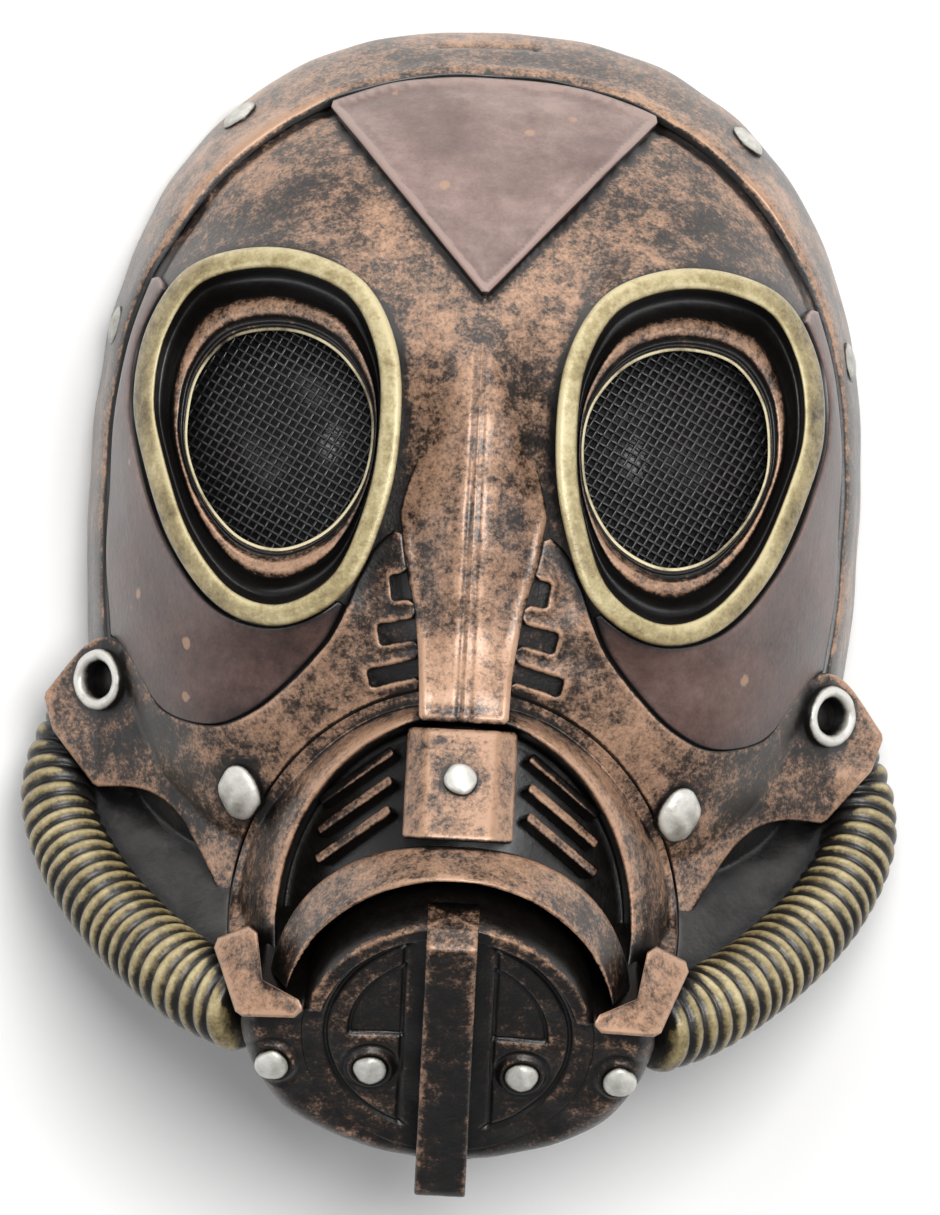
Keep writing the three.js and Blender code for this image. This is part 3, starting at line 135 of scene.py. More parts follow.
# The collar's front corners about the can's middle, in shares of the muzzle's half sizes and crest.
COLLAR_CORNERS = [
    (1.071, 0.35, -0.135), (0.876, 0.434, -0.038), (0.834, 0.2, 0.067), (0.649, 0.117, 0.106),
    (0.649, 0.05, 0.096), (0.939, 0.042, 0.038),
]
HOSE_ROUTE = [
    (97.5, -33, 13), (102, -44, 16), (102.5, -55, 24), (98.5, -66, 34), (91, -77, 48), (81, -87, 62),
    (70.5, -95, 76), (62, -100, 85), (51, -104, 95),
]


# Small numbers' helpers.
def mix(a, b, t):
    return a + (b - a) * t


def smooth(low, high, value):
    t = np.clip((value - low) / (high - low), 0, 1)
    return t * t * (3 - 2 * t)


def bell(way, width):
    return np.exp(-((way / width) ** 2))


def face_x(across):
    return across * HALF_WIDTH


def face_y(up):
    return up * (CROWN_RISE if up > 0 else JAW_DROP) + BROW_Y


def curve(rows, spacing=1.2):
    """A smooth closed line through points, with sharp corners where a row's third column is 1."""
    points = np.array([row[:2] for row in rows], float)
    sharp = [len(row) > 2 and row[2] == 1 for row in rows]
    count = len(points)
    made = []
    for i in range(count):
        a, b = points[i], points[(i + 1) % count]
        before, after = points[i - 1], points[(i + 2) % count]
        start = b - a if sharp[i] else (b - before) / 2
        end = b - a if sharp[(i + 1) % count] else (after - a) / 2
        t = np.linspace(0, 1, max(2, int(np.linalg.norm(b - a) / spacing) + 1), endpoint=False)[:, None]
        made.append(
            (2 * t**3 - 3 * t**2 + 1) * a + (t**3 - 2 * t**2 + t) * start
            + (-2 * t**3 + 3 * t**2) * b + (t**3 - t**2) * end
        )
    return np.concatenate(made)


def resample(loop, count):
    """A closed line as evenly spaced points, from its first one."""
    closed = np.vstack([loop, loop[:1]])
    length = np.concatenate([[0], np.cumsum(np.linalg.norm(np.diff(closed, axis=0), axis=1))])
    at = np.linspace(0, length[-1], count, endpoint=False)
    return np.stack([np.interp(at, length, closed[:, k]) for k in range(loop.shape[1])], 1)


def profile(rows, steps):
    """A smooth open line through rows of numbers, with so many steps between two rows."""
    points = np.array(rows, float)
    padded = np.vstack([2 * points[0] - points[1], points, 2 * points[-1] - points[-2]])
    made = []
    for i in range(len(points) - 1):
        a, b, c, d = padded[i : i + 4]
        t = np.linspace(0, 1, steps, endpoint=False)[:, None]
        square, cube = 2 * a - 5 * b + 4 * c - d, 3 * b - a - 3 * c + d
        made.append(0.5 * (2 * b + (c - a) * t + square * t**2 + cube * t**3))
    return np.vstack([*made, points[-1:]])


def rounded(points, radius, steps=4):
    """A closed outline with each corner rounded."""
    made = []
    for i, corner in enumerate(points):
        before, after = points[i - 1] - corner, points[(i + 1) % len(points)] - corner
        r0 = min(radius, 0.45 * np.linalg.norm(before))
        r1 = min(radius, 0.45 * np.linalg.norm(after))
        a = corner + before / np.linalg.norm(before) * r0
        b = corner + after / np.linalg.norm(after) * r1
        for t in np.linspace(0, 1, steps + 1):
            made.append((1 - t) ** 2 * a + 2 * t * (1 - t) * corner + t**2 * b)
    return np.array(made)


def face_loop(rows, both=False):
    shares = [(face_x(r[0]), face_y(r[1]), *r[2:]) for r in rows]
    if both:
        shares += [(-r[0], *r[1:]) for r in reversed(shares) if abs(r[0]) > 1e-6]
    return curve(shares)


def signed_area(loop):
    x, y = loop[:, 0], loop[:, 1]
    return 0.5 * np.sum(x * np.roll(y, -1) - y * np.roll(x, -1))


def loop_distance(p, loop):
    """For each point: how far inside the loop, the nearest point of the loop, and the way out there."""
    if signed_area(loop) < 0:
        loop = loop[::-1]
    best = np.full(len(p), 1e18)
    near = np.zeros_like(p)
    out = np.zeros_like(p)
    inside = np.zeros(len(p), bool)
    for a, b in zip(loop, np.roll(loop, -1, 0)):
        e = b - a
        length2 = e @ e
        if length2 < 1e-12:
            continue
        t = np.clip(((p - a) @ e) / length2, 0, 1)
        q = a + t[:, None] * e
        d2 = ((p - q) ** 2).sum(1)
        better = d2 < best
        best = np.where(better, d2, best)
        near[better] = q[better]
        out[better] = np.array([e[1], -e[0]]) / math.sqrt(length2)
        crosses = (a[1] > p[:, 1]) != (b[1] > p[:, 1])
        with np.errstate(divide="ignore", invalid="ignore"):
            side = p[:, 0] < (b[0] - a[0]) * (p[:, 1] - a[1]) / (b[1] - a[1]) + a[0]
        inside ^= crosses & side
    return np.where(inside, 1, -1) * np.sqrt(best), near, out


def line_distance(p, line):
    best = np.full(len(p), 1e18)
    for a, b in zip(line[:-1], line[1:]):
        e = b - a
        t = np.clip(((p - a) @ e) / (e @ e), 0, 1)
        best = np.minimum(best, ((p - a - t[:, None] * e) ** 2).sum(1))
    return np.sqrt(best)


class Region:
    """The plane inside some loops and outside others."""

    def __init__(self, inside=(), outside=()):
        self.loops = [(loop, 1) for loop in inside] + [(loop, -1) for loop in outside]

    def __call__(self, p):
        depth = np.full(len(p), 1e9)
        near, out = p.copy(), np.zeros_like(p)
        for loop, sign in self.loops:
            d, q, n = loop_distance(p, loop)
            closer = sign * d < depth
            depth = np.where(closer, sign * d, depth)
            near[closer], out[closer] = q[closer], sign * n[closer]
        return depth, near, out


def grow(loop, distance):
    """A loop moved outwards."""
    if signed_area(loop) < 0:
        loop = loop[::-1]
    along = np.roll(loop, -1, 0) - np.roll(loop, 1, 0)
    along /= np.maximum(np.linalg.norm(along, axis=1, keepdims=True), 1e-9)
    return loop + distance * np.stack([along[:, 1], -along[:, 0]], 1)


# The forms.
def face_share(x, y):
    dy = y - BROW_Y
    across = np.abs(x / HALF_WIDTH) ** FACE_CORNER
    total = across + np.abs(dy / np.where(dy > 0, CROWN_RISE, JAW_DROP)) ** FACE_CORNER
    return total ** (1 / FACE_CORNER), np.where(total > 0, across / np.maximum(total, 1e-12), 1.0)


def face_plain(x, y):
    share, side = face_share(x, y)
    spread, drop = mix(CROWN_SPREAD, SIDE_SPREAD, side), mix(CROWN_DROP, SIDE_DROP, side)
    return FACE_DEPTH * np.clip(1 - np.clip(share, 0, 1) ** spread, 0, 1) ** (1 / drop)


def nose_ridge(x, y):
    above = np.maximum(0, y - NOSE_TOP_Y) / (0.3 * CROWN_RISE)
    below = np.maximum(0, -0.36 * JAW_DROP + BROW_Y - y) / (0.2 * JAW_DROP)
    return NOSE_HEIGHT * np.exp(-((x / NOSE_SPREAD) ** 2) - above**2 - below**2)


def eye_loop(rows, x, y, half_width, half_height, count):
    loop = curve([(x + r[0] * half_width, y + r[1] * half_height) for r in rows], 0.6)
    return resample(loop, count)


eye_outer = eye_loop(EYE_OUTLINE, EYE_X, EYE_Y, EYE_HALF_WIDTH, EYE_HALF_HEIGHT, EYE_STATIONS)
eye_inner = grow(eye_outer, -EYE_RING_WIDTH)
lens_edge = eye_loop(LENS_OUTLINE, LENS_X, LENS_Y, LENS_HALF_WIDTH, LENS_HALF_HEIGHT, EYE_STATIONS)


def eye_swell(x, y):
    """The face rises a little to meet the eye ring, but not on the nose's side."""
    p = np.stack([np.abs(x).ravel(), y.ravel()], 1)
    near = (np.abs(p[:, 0] - EYE_X) < EYE_HALF_WIDTH + 16) & (np.abs(p[:, 1] - EYE_Y) < EYE_HALF_HEIGHT + 16)
    swell = np.zeros(len(p))
    if near.any():
        depth = loop_distance(p[near], eye_outer[::4])[0]
        away = np.maximum(0, -depth)
        swell[near] = 4.2 * np.exp(-((away / 6.5) ** 1.6)) * smooth(24, 40, p[near, 0])
    return swell.reshape(x.shape)


def face(x, y):
    return face_plain(x, y) + nose_ridge(x, y)


def on_skin(p, lift, skin=True):
    """Points of the face's surface, lifted along its normal."""
    x, y = p[:, 0], p[:, 1]
    step = 0.4
    slope_x = (face(x + step, y) - face(x - step, y)) / (2 * step)
    slope_y = (face(x, y + step) - face(x, y - step)) / (2 * step)
    normal = np.stack([-slope_x, -slope_y, np.ones(len(p))], 1)
    normal /= np.linalg.norm(normal, axis=1, keepdims=True)
    height = face(x, y) + (eye_swell(x, y) if skin else 0)
    made = np.stack([x, y, height], 1) + normal * np.reshape(lift, (-1, 1))
    made[:, 2] = np.maximum(made[:, 2], 0)
    return made


def eye_seat(x, y):
    middle = face_plain(np.float64(EYE_X), np.float64(EYE_Y)) + EYE_LIFT
    plane = middle + EYE_SLOPE_OUT * (x - EYE_X) + EYE_SLOPE_UP * (y - EYE_Y)
    return mix(plane, face_plain(x, y) + EYE_LIFT, 0.5)


def muzzle_height(x, y):
    across, along = x / MOUTH_HALF_WIDTH, (y - MUZZLE_Y) / MOUTH_HALF_HEIGHT
    return MUZZLE_CREST - MUZZLE_ROUND_ACROSS * across**2 - MUZZLE_ROUND_ALONG * along**2


def muzzle_plane(y, behind=CHIN_FRONT):
    """The plane behind the can where the muzzle ends."""
    return CAN_Z + (-behind + math.sin(CAN_TILT) * (y - CAN_Y)) / math.cos(CAN_TILT)


def from_can(p):
    """From the can's tilted frame to the part's."""
    c, s = math.cos(CAN_TILT), math.sin(CAN_TILT)
    return np.stack([p[:, 0], CAN_Y + c * p[:, 1] - s * p[:, 2], CAN_Z + s * p[:, 1] + c * p[:, 2]], 1)


def arm_front(x, y):
    across = np.abs(x) / HALF_WIDTH
    line = np.interp(across, [r[0] for r in ARM_LINE], [r[1] * FACE_DEPTH for r in ARM_LINE])
    lying = face(x, y) + eye_swell(x, y) + CLEARANCE + ARM_THICKNESS
    return np.where(across < ARM_LINE[0][0], lying, np.maximum(lying, line))


def jaw_front(x, y):
    lying = face_plain(x, y) + CLEARANCE + PANEL_THICKNESS
    plane = 17 + 0.55 * (face_x(1.05) - np.abs(x)) + 0.75 * (face_y(-0.46) - y)
    return np.maximum(lying, np.minimum(plane, 74))


# Meshes.
PIECES = []
RIM_STEPS, RIM_REACH = 7, 2.5  # how a sheet's rim is evened out, and how far it may be moved


def grid_faces(rows, columns, close_rows=False, close_columns=False):
    i, j = np.meshgrid(
        np.arange(rows if close_rows else rows - 1),
        np.arange(columns if close_columns else columns - 1),
        indexing="ij",
    )
    a = i * columns + j
    b = i * columns + (j + 1) % columns
    c = ((i + 1) % rows) * columns + (j + 1) % columns
    d = ((i + 1) % rows) * columns + j
    return np.stack([a, b, c, d], -1).reshape(-1, 4)


def loft(rings, close=False):
    """A skin through rings of as many points each, closed into a torus or capped at its ends."""
    rings = np.asarray(rings, float)
    count, size = rings.shape[:2]
    points = rings.reshape(-1, 3)
    faces = [grid_faces(count, size, close, True)]
    for ring in () if close else (0, count - 1):
        j = np.arange(size)
        points = np.vstack([points, rings[ring].mean(0)])
        tip = np.full(size, len(points) - 1)
        edge = [ring * size + j, ring * size + (j + 1) % size]
        if ring == 0:
            edge.reverse()
        faces.append(np.stack([tip, *edge], 1))
    return points, outwards(points, faces)


def outwards(points, faces):
    """Turns the faces of a closed body so that they look out of it."""
    volume = 0.0
    for some in faces:
        a, b, c = points[some[:, 0]], points[some[:, 1]], points[some[:, 2]]
        volume += np.sum(a * np.cross(b, c))
        if some.shape[1] == 4:
            volume += np.sum(a * np.cross(c, points[some[:, 3]]))
    return faces if volume > 0 else [f[:, ::-1] for f in faces]


def sheet(grid, region, at, foot, relief, thickness=0.0, edge=0.8, closed=False, wrap=False, rows=3):
    """A plate over the part of a grid that lies in a region: its front with a rounded edge, walls down to
    its foot, and a back if it is closed. at(p, lift) lifts a plane point onto the carrier; foot(p) gives
    the back."""
    n, m = grid.shape[:2]
    p = grid.reshape(-1, 2)
    quads = grid_faces(n, m, wrap, False)
    quads = quads[region(p[quads].mean(1))[0] > edge]
    used, order = np.unique(quads, return_inverse=True)
    quads, p = order.reshape(-1, 4), p[used].copy()
    first, second = p[quads[:, 1]] - p[quads[:, 0]], p[quads[:, 2]] - p[quads[:, 0]]
    if np.sum(first[:, 0] * second[:, 1] - first[:, 1] * second[:, 0]) < 0:
        quads = quads[:, ::-1]
    ends = np.concatenate([quads[:, [k, (k + 1) % 4]] for k in range(4)])
    key = ends.min(1) * len(p) + ends.max(1)
    _, first, times = np.unique(key, return_index=True, return_counts=True)
    border = ends[first[times == 1]]
    rim = np.unique(border)
    pinned = np.abs(region(p[rim])[0] - edge) > RIM_REACH
    times = np.maximum(np.bincount(border.ravel(), minlength=len(p)), 1)[:, None]
    for step in range(RIM_STEPS):
        near, out = region(p[rim])[1:]
        near[pinned], out[pinned] = p[rim][pinned], 0
        p[rim] = near - out * edge
        if step < RIM_STEPS - 1:  # even out the steps along the outline
            middle = np.zeros_like(p)
            np.add.at(middle, border[:, 0], p[border[:, 1]])
            np.add.at(middle, border[:, 1], p[border[:, 0]])
            moved = mix(p, middle / times, 0.5)[rim]
            p[rim] = np.where(pinned[:, None], p[rim], moved)
    depth = region(p)[0]
    lift = thickness + relief(p, depth)
    stack = [at(p, lift)]
    place = np.zeros(len(p), int)
    place[rim] = np.arange(len(rim))
    loops = [rim]
    total = len(p)

    def add_loop(points):
        nonlocal total
        stack.append(points)
        loops.append(total + np.arange(len(rim)))
        total += len(rim)

    for k in range(1, rows + 1):
        turn = k / rows * math.pi / 2
        add_loop(at(near - out * edge * (1 - math.sin(turn)), lift[rim] - edge * (1 - math.cos(turn))))
    top, bottom = stack[-1], foot(near)
    depth_steps = int(np.clip(np.ceil(np.linalg.norm(top - bottom, axis=1).max() / 2.5), 1, 8))
    for k in range(1, depth_steps + 1):
        add_loop(mix(top, bottom, k / depth_steps))
    faces = [quads]
    a, b = place[border[:, 0]], place[border[:, 1]]
    for upper, lower in zip(loops, loops[1:]):
        faces.append(np.stack([upper[b], upper[a], lower[a], lower[b]], 1))
    if closed:
        stack.append(foot(p))
        under = quads[:, ::-1]
        at_rim = np.full(len(p), -1)
        at_rim[rim] = loops[-1]
        faces.append(np.where(at_rim[under] >= 0, at_rim[under], under + total))
    return np.vstack(stack), faces


def mirror(made):
    points, faces = made
    return points * np.array([-1, 1, 1]), [f[:, ::-1] for f in faces]


def join(*made):
    points, faces, start = [], [], 0
    for some, theirs in made:
        points.append(some)
        faces += [f + start for f in theirs]
        start += len(some)
    return np.vstack(points), faces


def piece(name, made, material, slot, *nodes, dark=0.0):
    """A shown piece from points in millimetres, which stands for its CAD nodes."""
    points, faces = made
    mesh = bpy.data.meshes.new(f"{name}_fine")
    mesh.vertices.add(len(points))
    mesh.vertices.foreach_set("co", ((points + [0, SHIFT_Y, 0]) * MM).astype(np.float32).ravel())
    sizes = np.concatenate([np.full(len(f), f.shape[1]) for f in faces])
    corners = np.concatenate([f.ravel() for f in faces])
    mesh.loops.add(len(corners))
    mesh.loops.foreach_set("vertex_index", corners.astype(np.int32))
    mesh.polygons.add(len(sizes))
    mesh.polygons.foreach_set("loop_start", np.concatenate([[0], np.cumsum(sizes)[:-1]]).astype(np.int32))
    mesh.polygons.foreach_set("use_smooth", np.ones(len(sizes), bool))
    mesh.update(calc_edges=True)
    mesh.validate()
    mesh.materials.append(material)
    made_object = bpy.data.objects.new(f"{name}_fine", mesh)
    bpy.context.scene.collection.objects.link(made_object)
    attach(made_object, "root")
    if nodes:
        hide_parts(*nodes)
    PIECES.append((made_object, points, faces, dark))
    return made_object


def pair(name, made, material, slot, *nodes, dark=0.0):
    piece(name + "_left", made, material, slot, *[n + "_left" for n in nodes], dark=dark)
    piece(name + "_right", mirror(made), material, slot, *[n + "_right" for n in nodes], dark=dark)


def polar_grid(around, turns):
    """Plane points of the face by direction and by turn from its middle."""
    angle, turn = np.meshgrid(around, turns, indexing="ij")
    cos, sin = np.cos(angle), np.sin(angle)
    rise = np.where(sin > 0, CROWN_RISE, JAW_DROP)
    total = np.abs(cos / HALF_WIDTH) ** FACE_CORNER + np.abs(sin / rise) ** FACE_CORNER
    radius = total ** (-1 / FACE_CORNER) * np.sin(turn)
    return np.stack([radius * cos, BROW_Y + radius * sin], -1)


def flat_grid(x0, x1, y0, y1, cell):
    x = np.linspace(x0, x1, int((x1 - x0) / cell) + 1)
    y = np.linspace(y0, y1, int((y1 - y0) / cell) + 1)
    return np.stack(np.meshgrid(x, y, indexing="ij"), -1)


def waves(p, size, amount, seed):
    """The unevenness of a hand-made cast."""
    chosen = np.random.default_rng(seed)
    total = np.zeros(len(p))
    for _ in range(7):
        way = chosen.normal(size=p.shape[1])
        way *= 2 * math.pi / (size * chosen.uniform(0.7, 1.6) * np.linalg.norm(way))
        total += np.sin(p @ way + chosen.uniform(0, 6.28))
    return total * amount / 2.6


# Paints.
def linear(code):
    value = [int(code[i : i + 2], 16) / 255 for i in (0, 2, 4)]
    return tuple(v / 12.92 if v <= 0.04045 else ((v + 0.055) / 1.055) ** 2.4 for v in value) + (1.0,)


class Paint:
    """A material's nodes, one line each."""

    def __init__(self, name):
        self.material = bpy.data.materials.new(name)
        self.material.use_nodes = True
        self.nodes = self.material.node_tree.nodes
        self.links = self.material.node_tree.links
        self.shader = self.nodes["Principled BSDF"]
        self.place = self.nodes.new("ShaderNodeTexCoord").outputs["Object"]

    def join(self, value, socket):
        if hasattr(value, "links"):
            self.links.new(value, socket)
        else:
            socket.default_value = value

    def noise(self, scale, detail=4.0, rough=0.6, seed=0.0):
        node = self.nodes.new("ShaderNodeTexNoise")
        mapping = self.nodes.new("ShaderNodeMapping")
        mapping.inputs["Location"].default_value = (seed, seed * 0.7, -seed)
        self.links.new(self.place, mapping.inputs["Vector"])
        self.links.new(mapping.outputs["Vector"], node.inputs["Vector"])
        node.inputs["Scale"].default_value = scale
        node.inputs["Detail"].default_value = detail
        node.inputs["Roughness"].default_value = rough
        return node.outputs["Fac"]

    def cells(self, scale):
        node = self.nodes.new("ShaderNodeTexVoronoi")
        self.links.new(self.place, node.inputs["Vector"])
        node.inputs["Scale"].default_value = scale
        return node.outputs["Distance"]

    def attribute(self, name):
        node = self.nodes.new("ShaderNodeAttribute")
        node.attribute_name = name
        return node.outputs["Fac"]

    def math(self, operation, a, b):
        node = self.nodes.new("ShaderNodeMath")
        node.operation = operation
        self.join(a, node.inputs[0])
        self.join(b, node.inputs[1])
        return node.outputs[0]

    def sum(self, *terms):
        """Each term is a value and its weight."""
        total = 0.0
        for value, weight in terms:
            total = self.math("ADD", self.math("MULTIPLY", value, weight), total)
        return total

    def tone(self, middle, *clouds):
        """A paint's tone: noises about their middles, brighter on worn edges and where it faces the front and
        the crown, darker with painted shade in the hollows.
        """
        looks = {"edge": 0.45, "hollow": -0.85, "brushed": 0.35}
        wear_and_shade = self.sum(*((self.attribute(name), weight) for name, weight in looks.items()))
        shift = middle - 0.3 - 0.5 * sum(weight for _, weight in clouds)
        return self.math("ADD", self.sum(*clouds), self.math("ADD", wear_and_shade, shift))

    def ramp(self, value, *stops):
        node = self.nodes.new("ShaderNodeValToRGB")
        self.join(value, node.inputs["Fac"])
        elements = node.color_ramp.elements
        while len(elements) < len(stops):
            elements.new(0.5)
        for element, (position, colour) in zip(elements, stops):
            element.position = position
            element.color = linear(colour) if isinstance(colour, str) else (colour, colour, colour, 1)
        return node.outputs["Color"]

    def blend(self, share, a, b):
        node = self.nodes.new("ShaderNodeMix")
        node.data_type = "RGBA"
        self.join(share, node.inputs["Factor"])
        for value, socket in ((a, node.inputs[6]), (b, node.inputs[7])):
            self.join(linear(value) if isinstance(value, str) else value, socket)
        return node.outputs[2]

    def bump(self, height, distance, strength=1.0, before=None):
        node = self.nodes.new("ShaderNodeBump")
        node.inputs["Distance"].default_value = distance
        node.inputs["Strength"].default_value = strength
        self.join(height, node.inputs["Height"])
        if before is not None:
            self.links.new(before, node.inputs["Normal"])
        return node.outputs["Normal"]

    def finish(self, colour, roughness, normal, metallic=0.0, coat=0.0, coat_roughness=0.2, specular=0.5):
        self.join(colour, self.shader.inputs["Base Color"])
        self.join(roughness, self.shader.inputs["Roughness"])
        self.join(metallic, self.shader.inputs["Metallic"])
        self.shader.inputs["Coat Weight"].default_value = coat
        self.shader.inputs["Coat Roughness"].default_value = coat_roughness
        self.shader.inputs["Specular IOR Level"].default_value = specular
        self.links.new(normal, self.shader.inputs["Normal"])
        return self.material


def bronze(name, bias=0.0, coat=0.45):
    """Black latex with a copper dry-brush over it: worn edges bright, the hollows black, partly as the brush
    left them and partly as painted shade.
    """
    paint = Paint(name)
    broad, patches = paint.noise(26, 2, seed=3), paint.noise(85, 4, 0.65, seed=1)
    blots = paint.noise(330, 4, 0.7, seed=5)
    speckle = paint.noise(1100, 3, 0.7, seed=7)
    tone = paint.tone(0.5 + bias, (broad, 0.9), (patches, 1.2), (blots, 1.3), (speckle, 1.2))
    colour = paint.ramp(
        tone, (0.0, "0c0806"), (0.2, "1c130e"), (0.34, "38291f"), (0.46, "5c4739"), (0.58, "7d624f"),
        (0.74, "9a7860"), (0.95, "b48f74"),
    )
    grain = paint.bump(paint.sum((blots, 0.5), (speckle, 0.5)), 0.0004, 0.5)
    normal = paint.bump(patches, 0.0012, 0.35, grain)
    roughness = paint.ramp(blots, (0.35, 0.34), (0.65, 0.5))
    metallic = paint.ramp(tone, (0.5, 0.0), (0.8, 0.3))
    return paint.finish(colour, roughness, normal, metallic, coat, coat_roughness=0.28, specular=0.4)


def leather_brown(name, light=0.0):
    paint = Paint(name)
    patches, blots = paint.noise(40, 3, 0.6, seed=2), paint.noise(260, 4, 0.7, seed=4)
    speckle = paint.noise(1000, 3, 0.7)
    # light raises the tone; on the brow it is a painted sheen.
    tone = paint.tone(0.5 + light, (patches, 0.8), (blots, 0.35), (speckle, 0.25))
    colour = paint.ramp(
        tone, (0.0, "120a08"), (0.2, "301d18"), (0.38, "503831"), (0.5, "5f463f"), (0.65, "715952"),
        (0.9, "957d74"),
    )
    spots = paint.ramp(paint.sum((paint.cells(75), 1.0), (blots, 0.25)), (0.2, 0.75), (0.25, 0.0))
    colour = paint.blend(spots, colour, "a98468")
    grain = paint.bump(paint.sum((speckle, 0.5), (paint.cells(700), 0.5)), 0.0003, 0.45)
    normal = paint.bump(blots, 0.0008, 0.3, grain)
    roughness = paint.ramp(patches, (0.3, 0.4), (0.7, 0.52))
    return paint.finish(colour, roughness, normal, coat=0.6, coat_roughness=0.32)


def brass(name, darkening=0.0):
    paint = Paint(name)
    patches, blots = paint.noise(60, 3, 0.6, seed=6), paint.noise(300, 4, 0.7, seed=8)
    speckle = paint.noise(1200, 2)
    tone = paint.tone(0.45 - darkening, (patches, 0.9), (blots, 0.8), (speckle, 0.4))
    colour = paint.ramp(
        tone, (0.0, "0f0c08"), (0.16, "241d11"), (0.32, "625536"), (0.46, "847550"), (0.64, "a09066"),
        (0.9, "c4b68c"),
    )
    normal = paint.bump(speckle, 0.0002, 0.4, paint.bump(blots, 0.0008, 0.35))
    roughness = paint.ramp(patches, (0.3, 0.4), (0.7, 0.52))
    return paint.finish(colour, roughness, normal, metallic=0.15, coat=0.35, coat_roughness=0.3)


def silver(name):
    paint = Paint(name)
    patches, speckle = paint.noise(260, 4, 0.6, seed=7), paint.noise(900, 3, 0.7, seed=2)
    tone = paint.tone(0.6, (patches, 0.6), (speckle, 0.4))
    colour = paint.ramp(
        tone, (0.0, "14120f"), (0.2, "5a564e"), (0.4, "9a978e"), (0.65, "b8b5ac"), (0.95, "d8d5cd")
    )
    normal = paint.bump(paint.cells(420), 0.0004, 0.25, paint.bump(speckle, 0.0002, 0.4))
    return paint.finish(colour, paint.ramp(patches, (0.3, 0.35), (0.7, 0.5)), normal, metallic=0.3, coat=0.2)


def black(name, code="211f1e", gloss=0.34):
    paint = Paint(name)
    patches, speckle = paint.noise(80, 5, 0.65, seed=11), paint.noise(700, 4, 0.7, seed=12)
    tone = paint.tone(0.5, (patches, 0.8), (speckle, 0.5))
    colour = paint.ramp(tone, (0.1, "080707"), (0.45, code), (0.8, "3c3936"))
    normal = paint.bump(speckle, 0.0003, 0.4, paint.bump(patches, 0.002, 0.5))
    return paint.finish(colour, paint.ramp(patches, (0.3, gloss), (0.7, gloss + 0.15)), normal, coat=0.4)


def cream(name):
    paint = Paint(name)
    patches = paint.noise(45, 5, 0.7, seed=13)
    colour = paint.ramp(patches, (0.3, "2a231b"), (0.4, "9a8e70"), (0.52, "d6c9a4"))
    return paint.finish(colour, 0.45, paint.bump(paint.noise(900), 0.0002, 0.3))


BRONZE, BROWN = bronze("bronze"), leather_brown("brown")
# The hoses' brass is darker all over.
BRASS, HOSE_BRASS = brass("brass"), brass("hose_brass", 0.17)
SILVER, BLACK, CREAM, NET = silver("silver"), black("black"), cream("cream"), black("net", "2a2727", 0.5)
FRONT_BRONZE, DARK_BRONZE = bronze("bronze_front", -0.32, 0.15), bronze("bronze_dark", -0.12)
# The brow panel's brown is lighter: a painted sheen.
BROW_SHEEN_BROWN = leather_brown("brown_brow_painted_sheen", 0.16)
# A near-black for the painted shade behind the nets.
SHADE_SHEET_BLACK = black("painted_shade_black", "090808", 0.7)
# A lighter bronze for the nose plate, the bracket and the collars: thicker copper with a painted highlight in
# it.
BRIGHT_HIGHLIT_BRONZE = bronze("bronze_bright", 0.16)
SLAT_BRONZE = bronze("bronze_slat", -0.26)

# The face's shell.
whole_turn = np.linspace(0, 2 * math.pi, 300, endpoint=False)


def muzzle_oval(half_width, half_height):
    turn = np.linspace(0, 2 * math.pi, 120, endpoint=False)
    return np.stack([half_width * np.cos(turn), MUZZLE_Y + half_height * np.sin(turn)], 1)


muzzle_hole = muzzle_oval(MOUTH_HALF_WIDTH + 1.5, MOUTH_HALF_HEIGHT + 1.5)
muzzle_hole[:, 1] = np.maximum(muzzle_hole[:, 1], MUZZLE_HOLE_END - 0.5)
muzzle_loop = muzzle_oval(MUZZLE_HALF_WIDTH + CLEARANCE, MUZZLE_HALF_HEIGHT + CLEARANCE)
flip = np.array([-1, 1])
eye_hole = grow(mix(eye_inner, eye_outer, 0.2), 0.5)
arm_loop = face_loop(ARM_PLATE)
forehead_loop = face_loop(FOREHEAD_PANEL)


def band_share(side):
    return mix(BAND_CROWN_SHARE, BAND_SIDE_SHARE, side**2)


edge_line = polar_grid(whole_turn, [math.pi / 2])[:, 0]
edge_share = band_share(face_share(edge_line[:, 0], edge_line[:, 1])[1])[:, None]
band_inner = (edge_line - [0, BROW_Y]) * edge_share + [0, BROW_Y]


def shell_relief(p, depth):
    gap = loop_distance(p, band_inner)[0] - 0.9
    beside = -loop_distance(p, forehead_loop)[0] - 0.6
    return -0.9 * bell(gap, 0.9) - 0.8 * bell(beside, 0.6) + waves(p, 26, 0.25, 1)


shell = sheet(
    polar_grid(whole_turn, np.linspace(0.03, math.pi / 2, 104)),
    Region(outside=[eye_hole, eye_hole * flip, muzzle_hole]),
    on_skin,
    lambda p: on_skin(p, -WALL, False),
    shell_relief,
    edge=0.3,
    closed=True,
    wrap=True,
)


def painted_highlight_between_eyes(p):
    """Between the eyes, where the paint is made lighter: the hollows' painted shade is lifted, and on the
    nose a painted highlight lies over thicker copper.
    """
    return smooth(40, 24, np.abs(p[:, 0])) * smooth(-36, -12, p[:, 1]) * smooth(80, 56, p[:, 1])


# The shell is darker towards the crown, and between the eyes its painted shade is lifted.
shell_dark = 0.13 * smooth(60, 90, shell[0][:, 1]) - 0.45 * painted_highlight_between_eyes(shell[0])
piece("face_shell", shell, BRONZE, "latex_bronze", "face_shell", dark=shell_dark)

# The rim band.
above_end = np.array([[-200, BAND_END_Y], [200, BAND_END_Y], [200, 300], [-200, 300]], float)
CROWN_SLIT = np.array([[-15, 142.6], [-4, 143.4], [10, 143.6]], float)


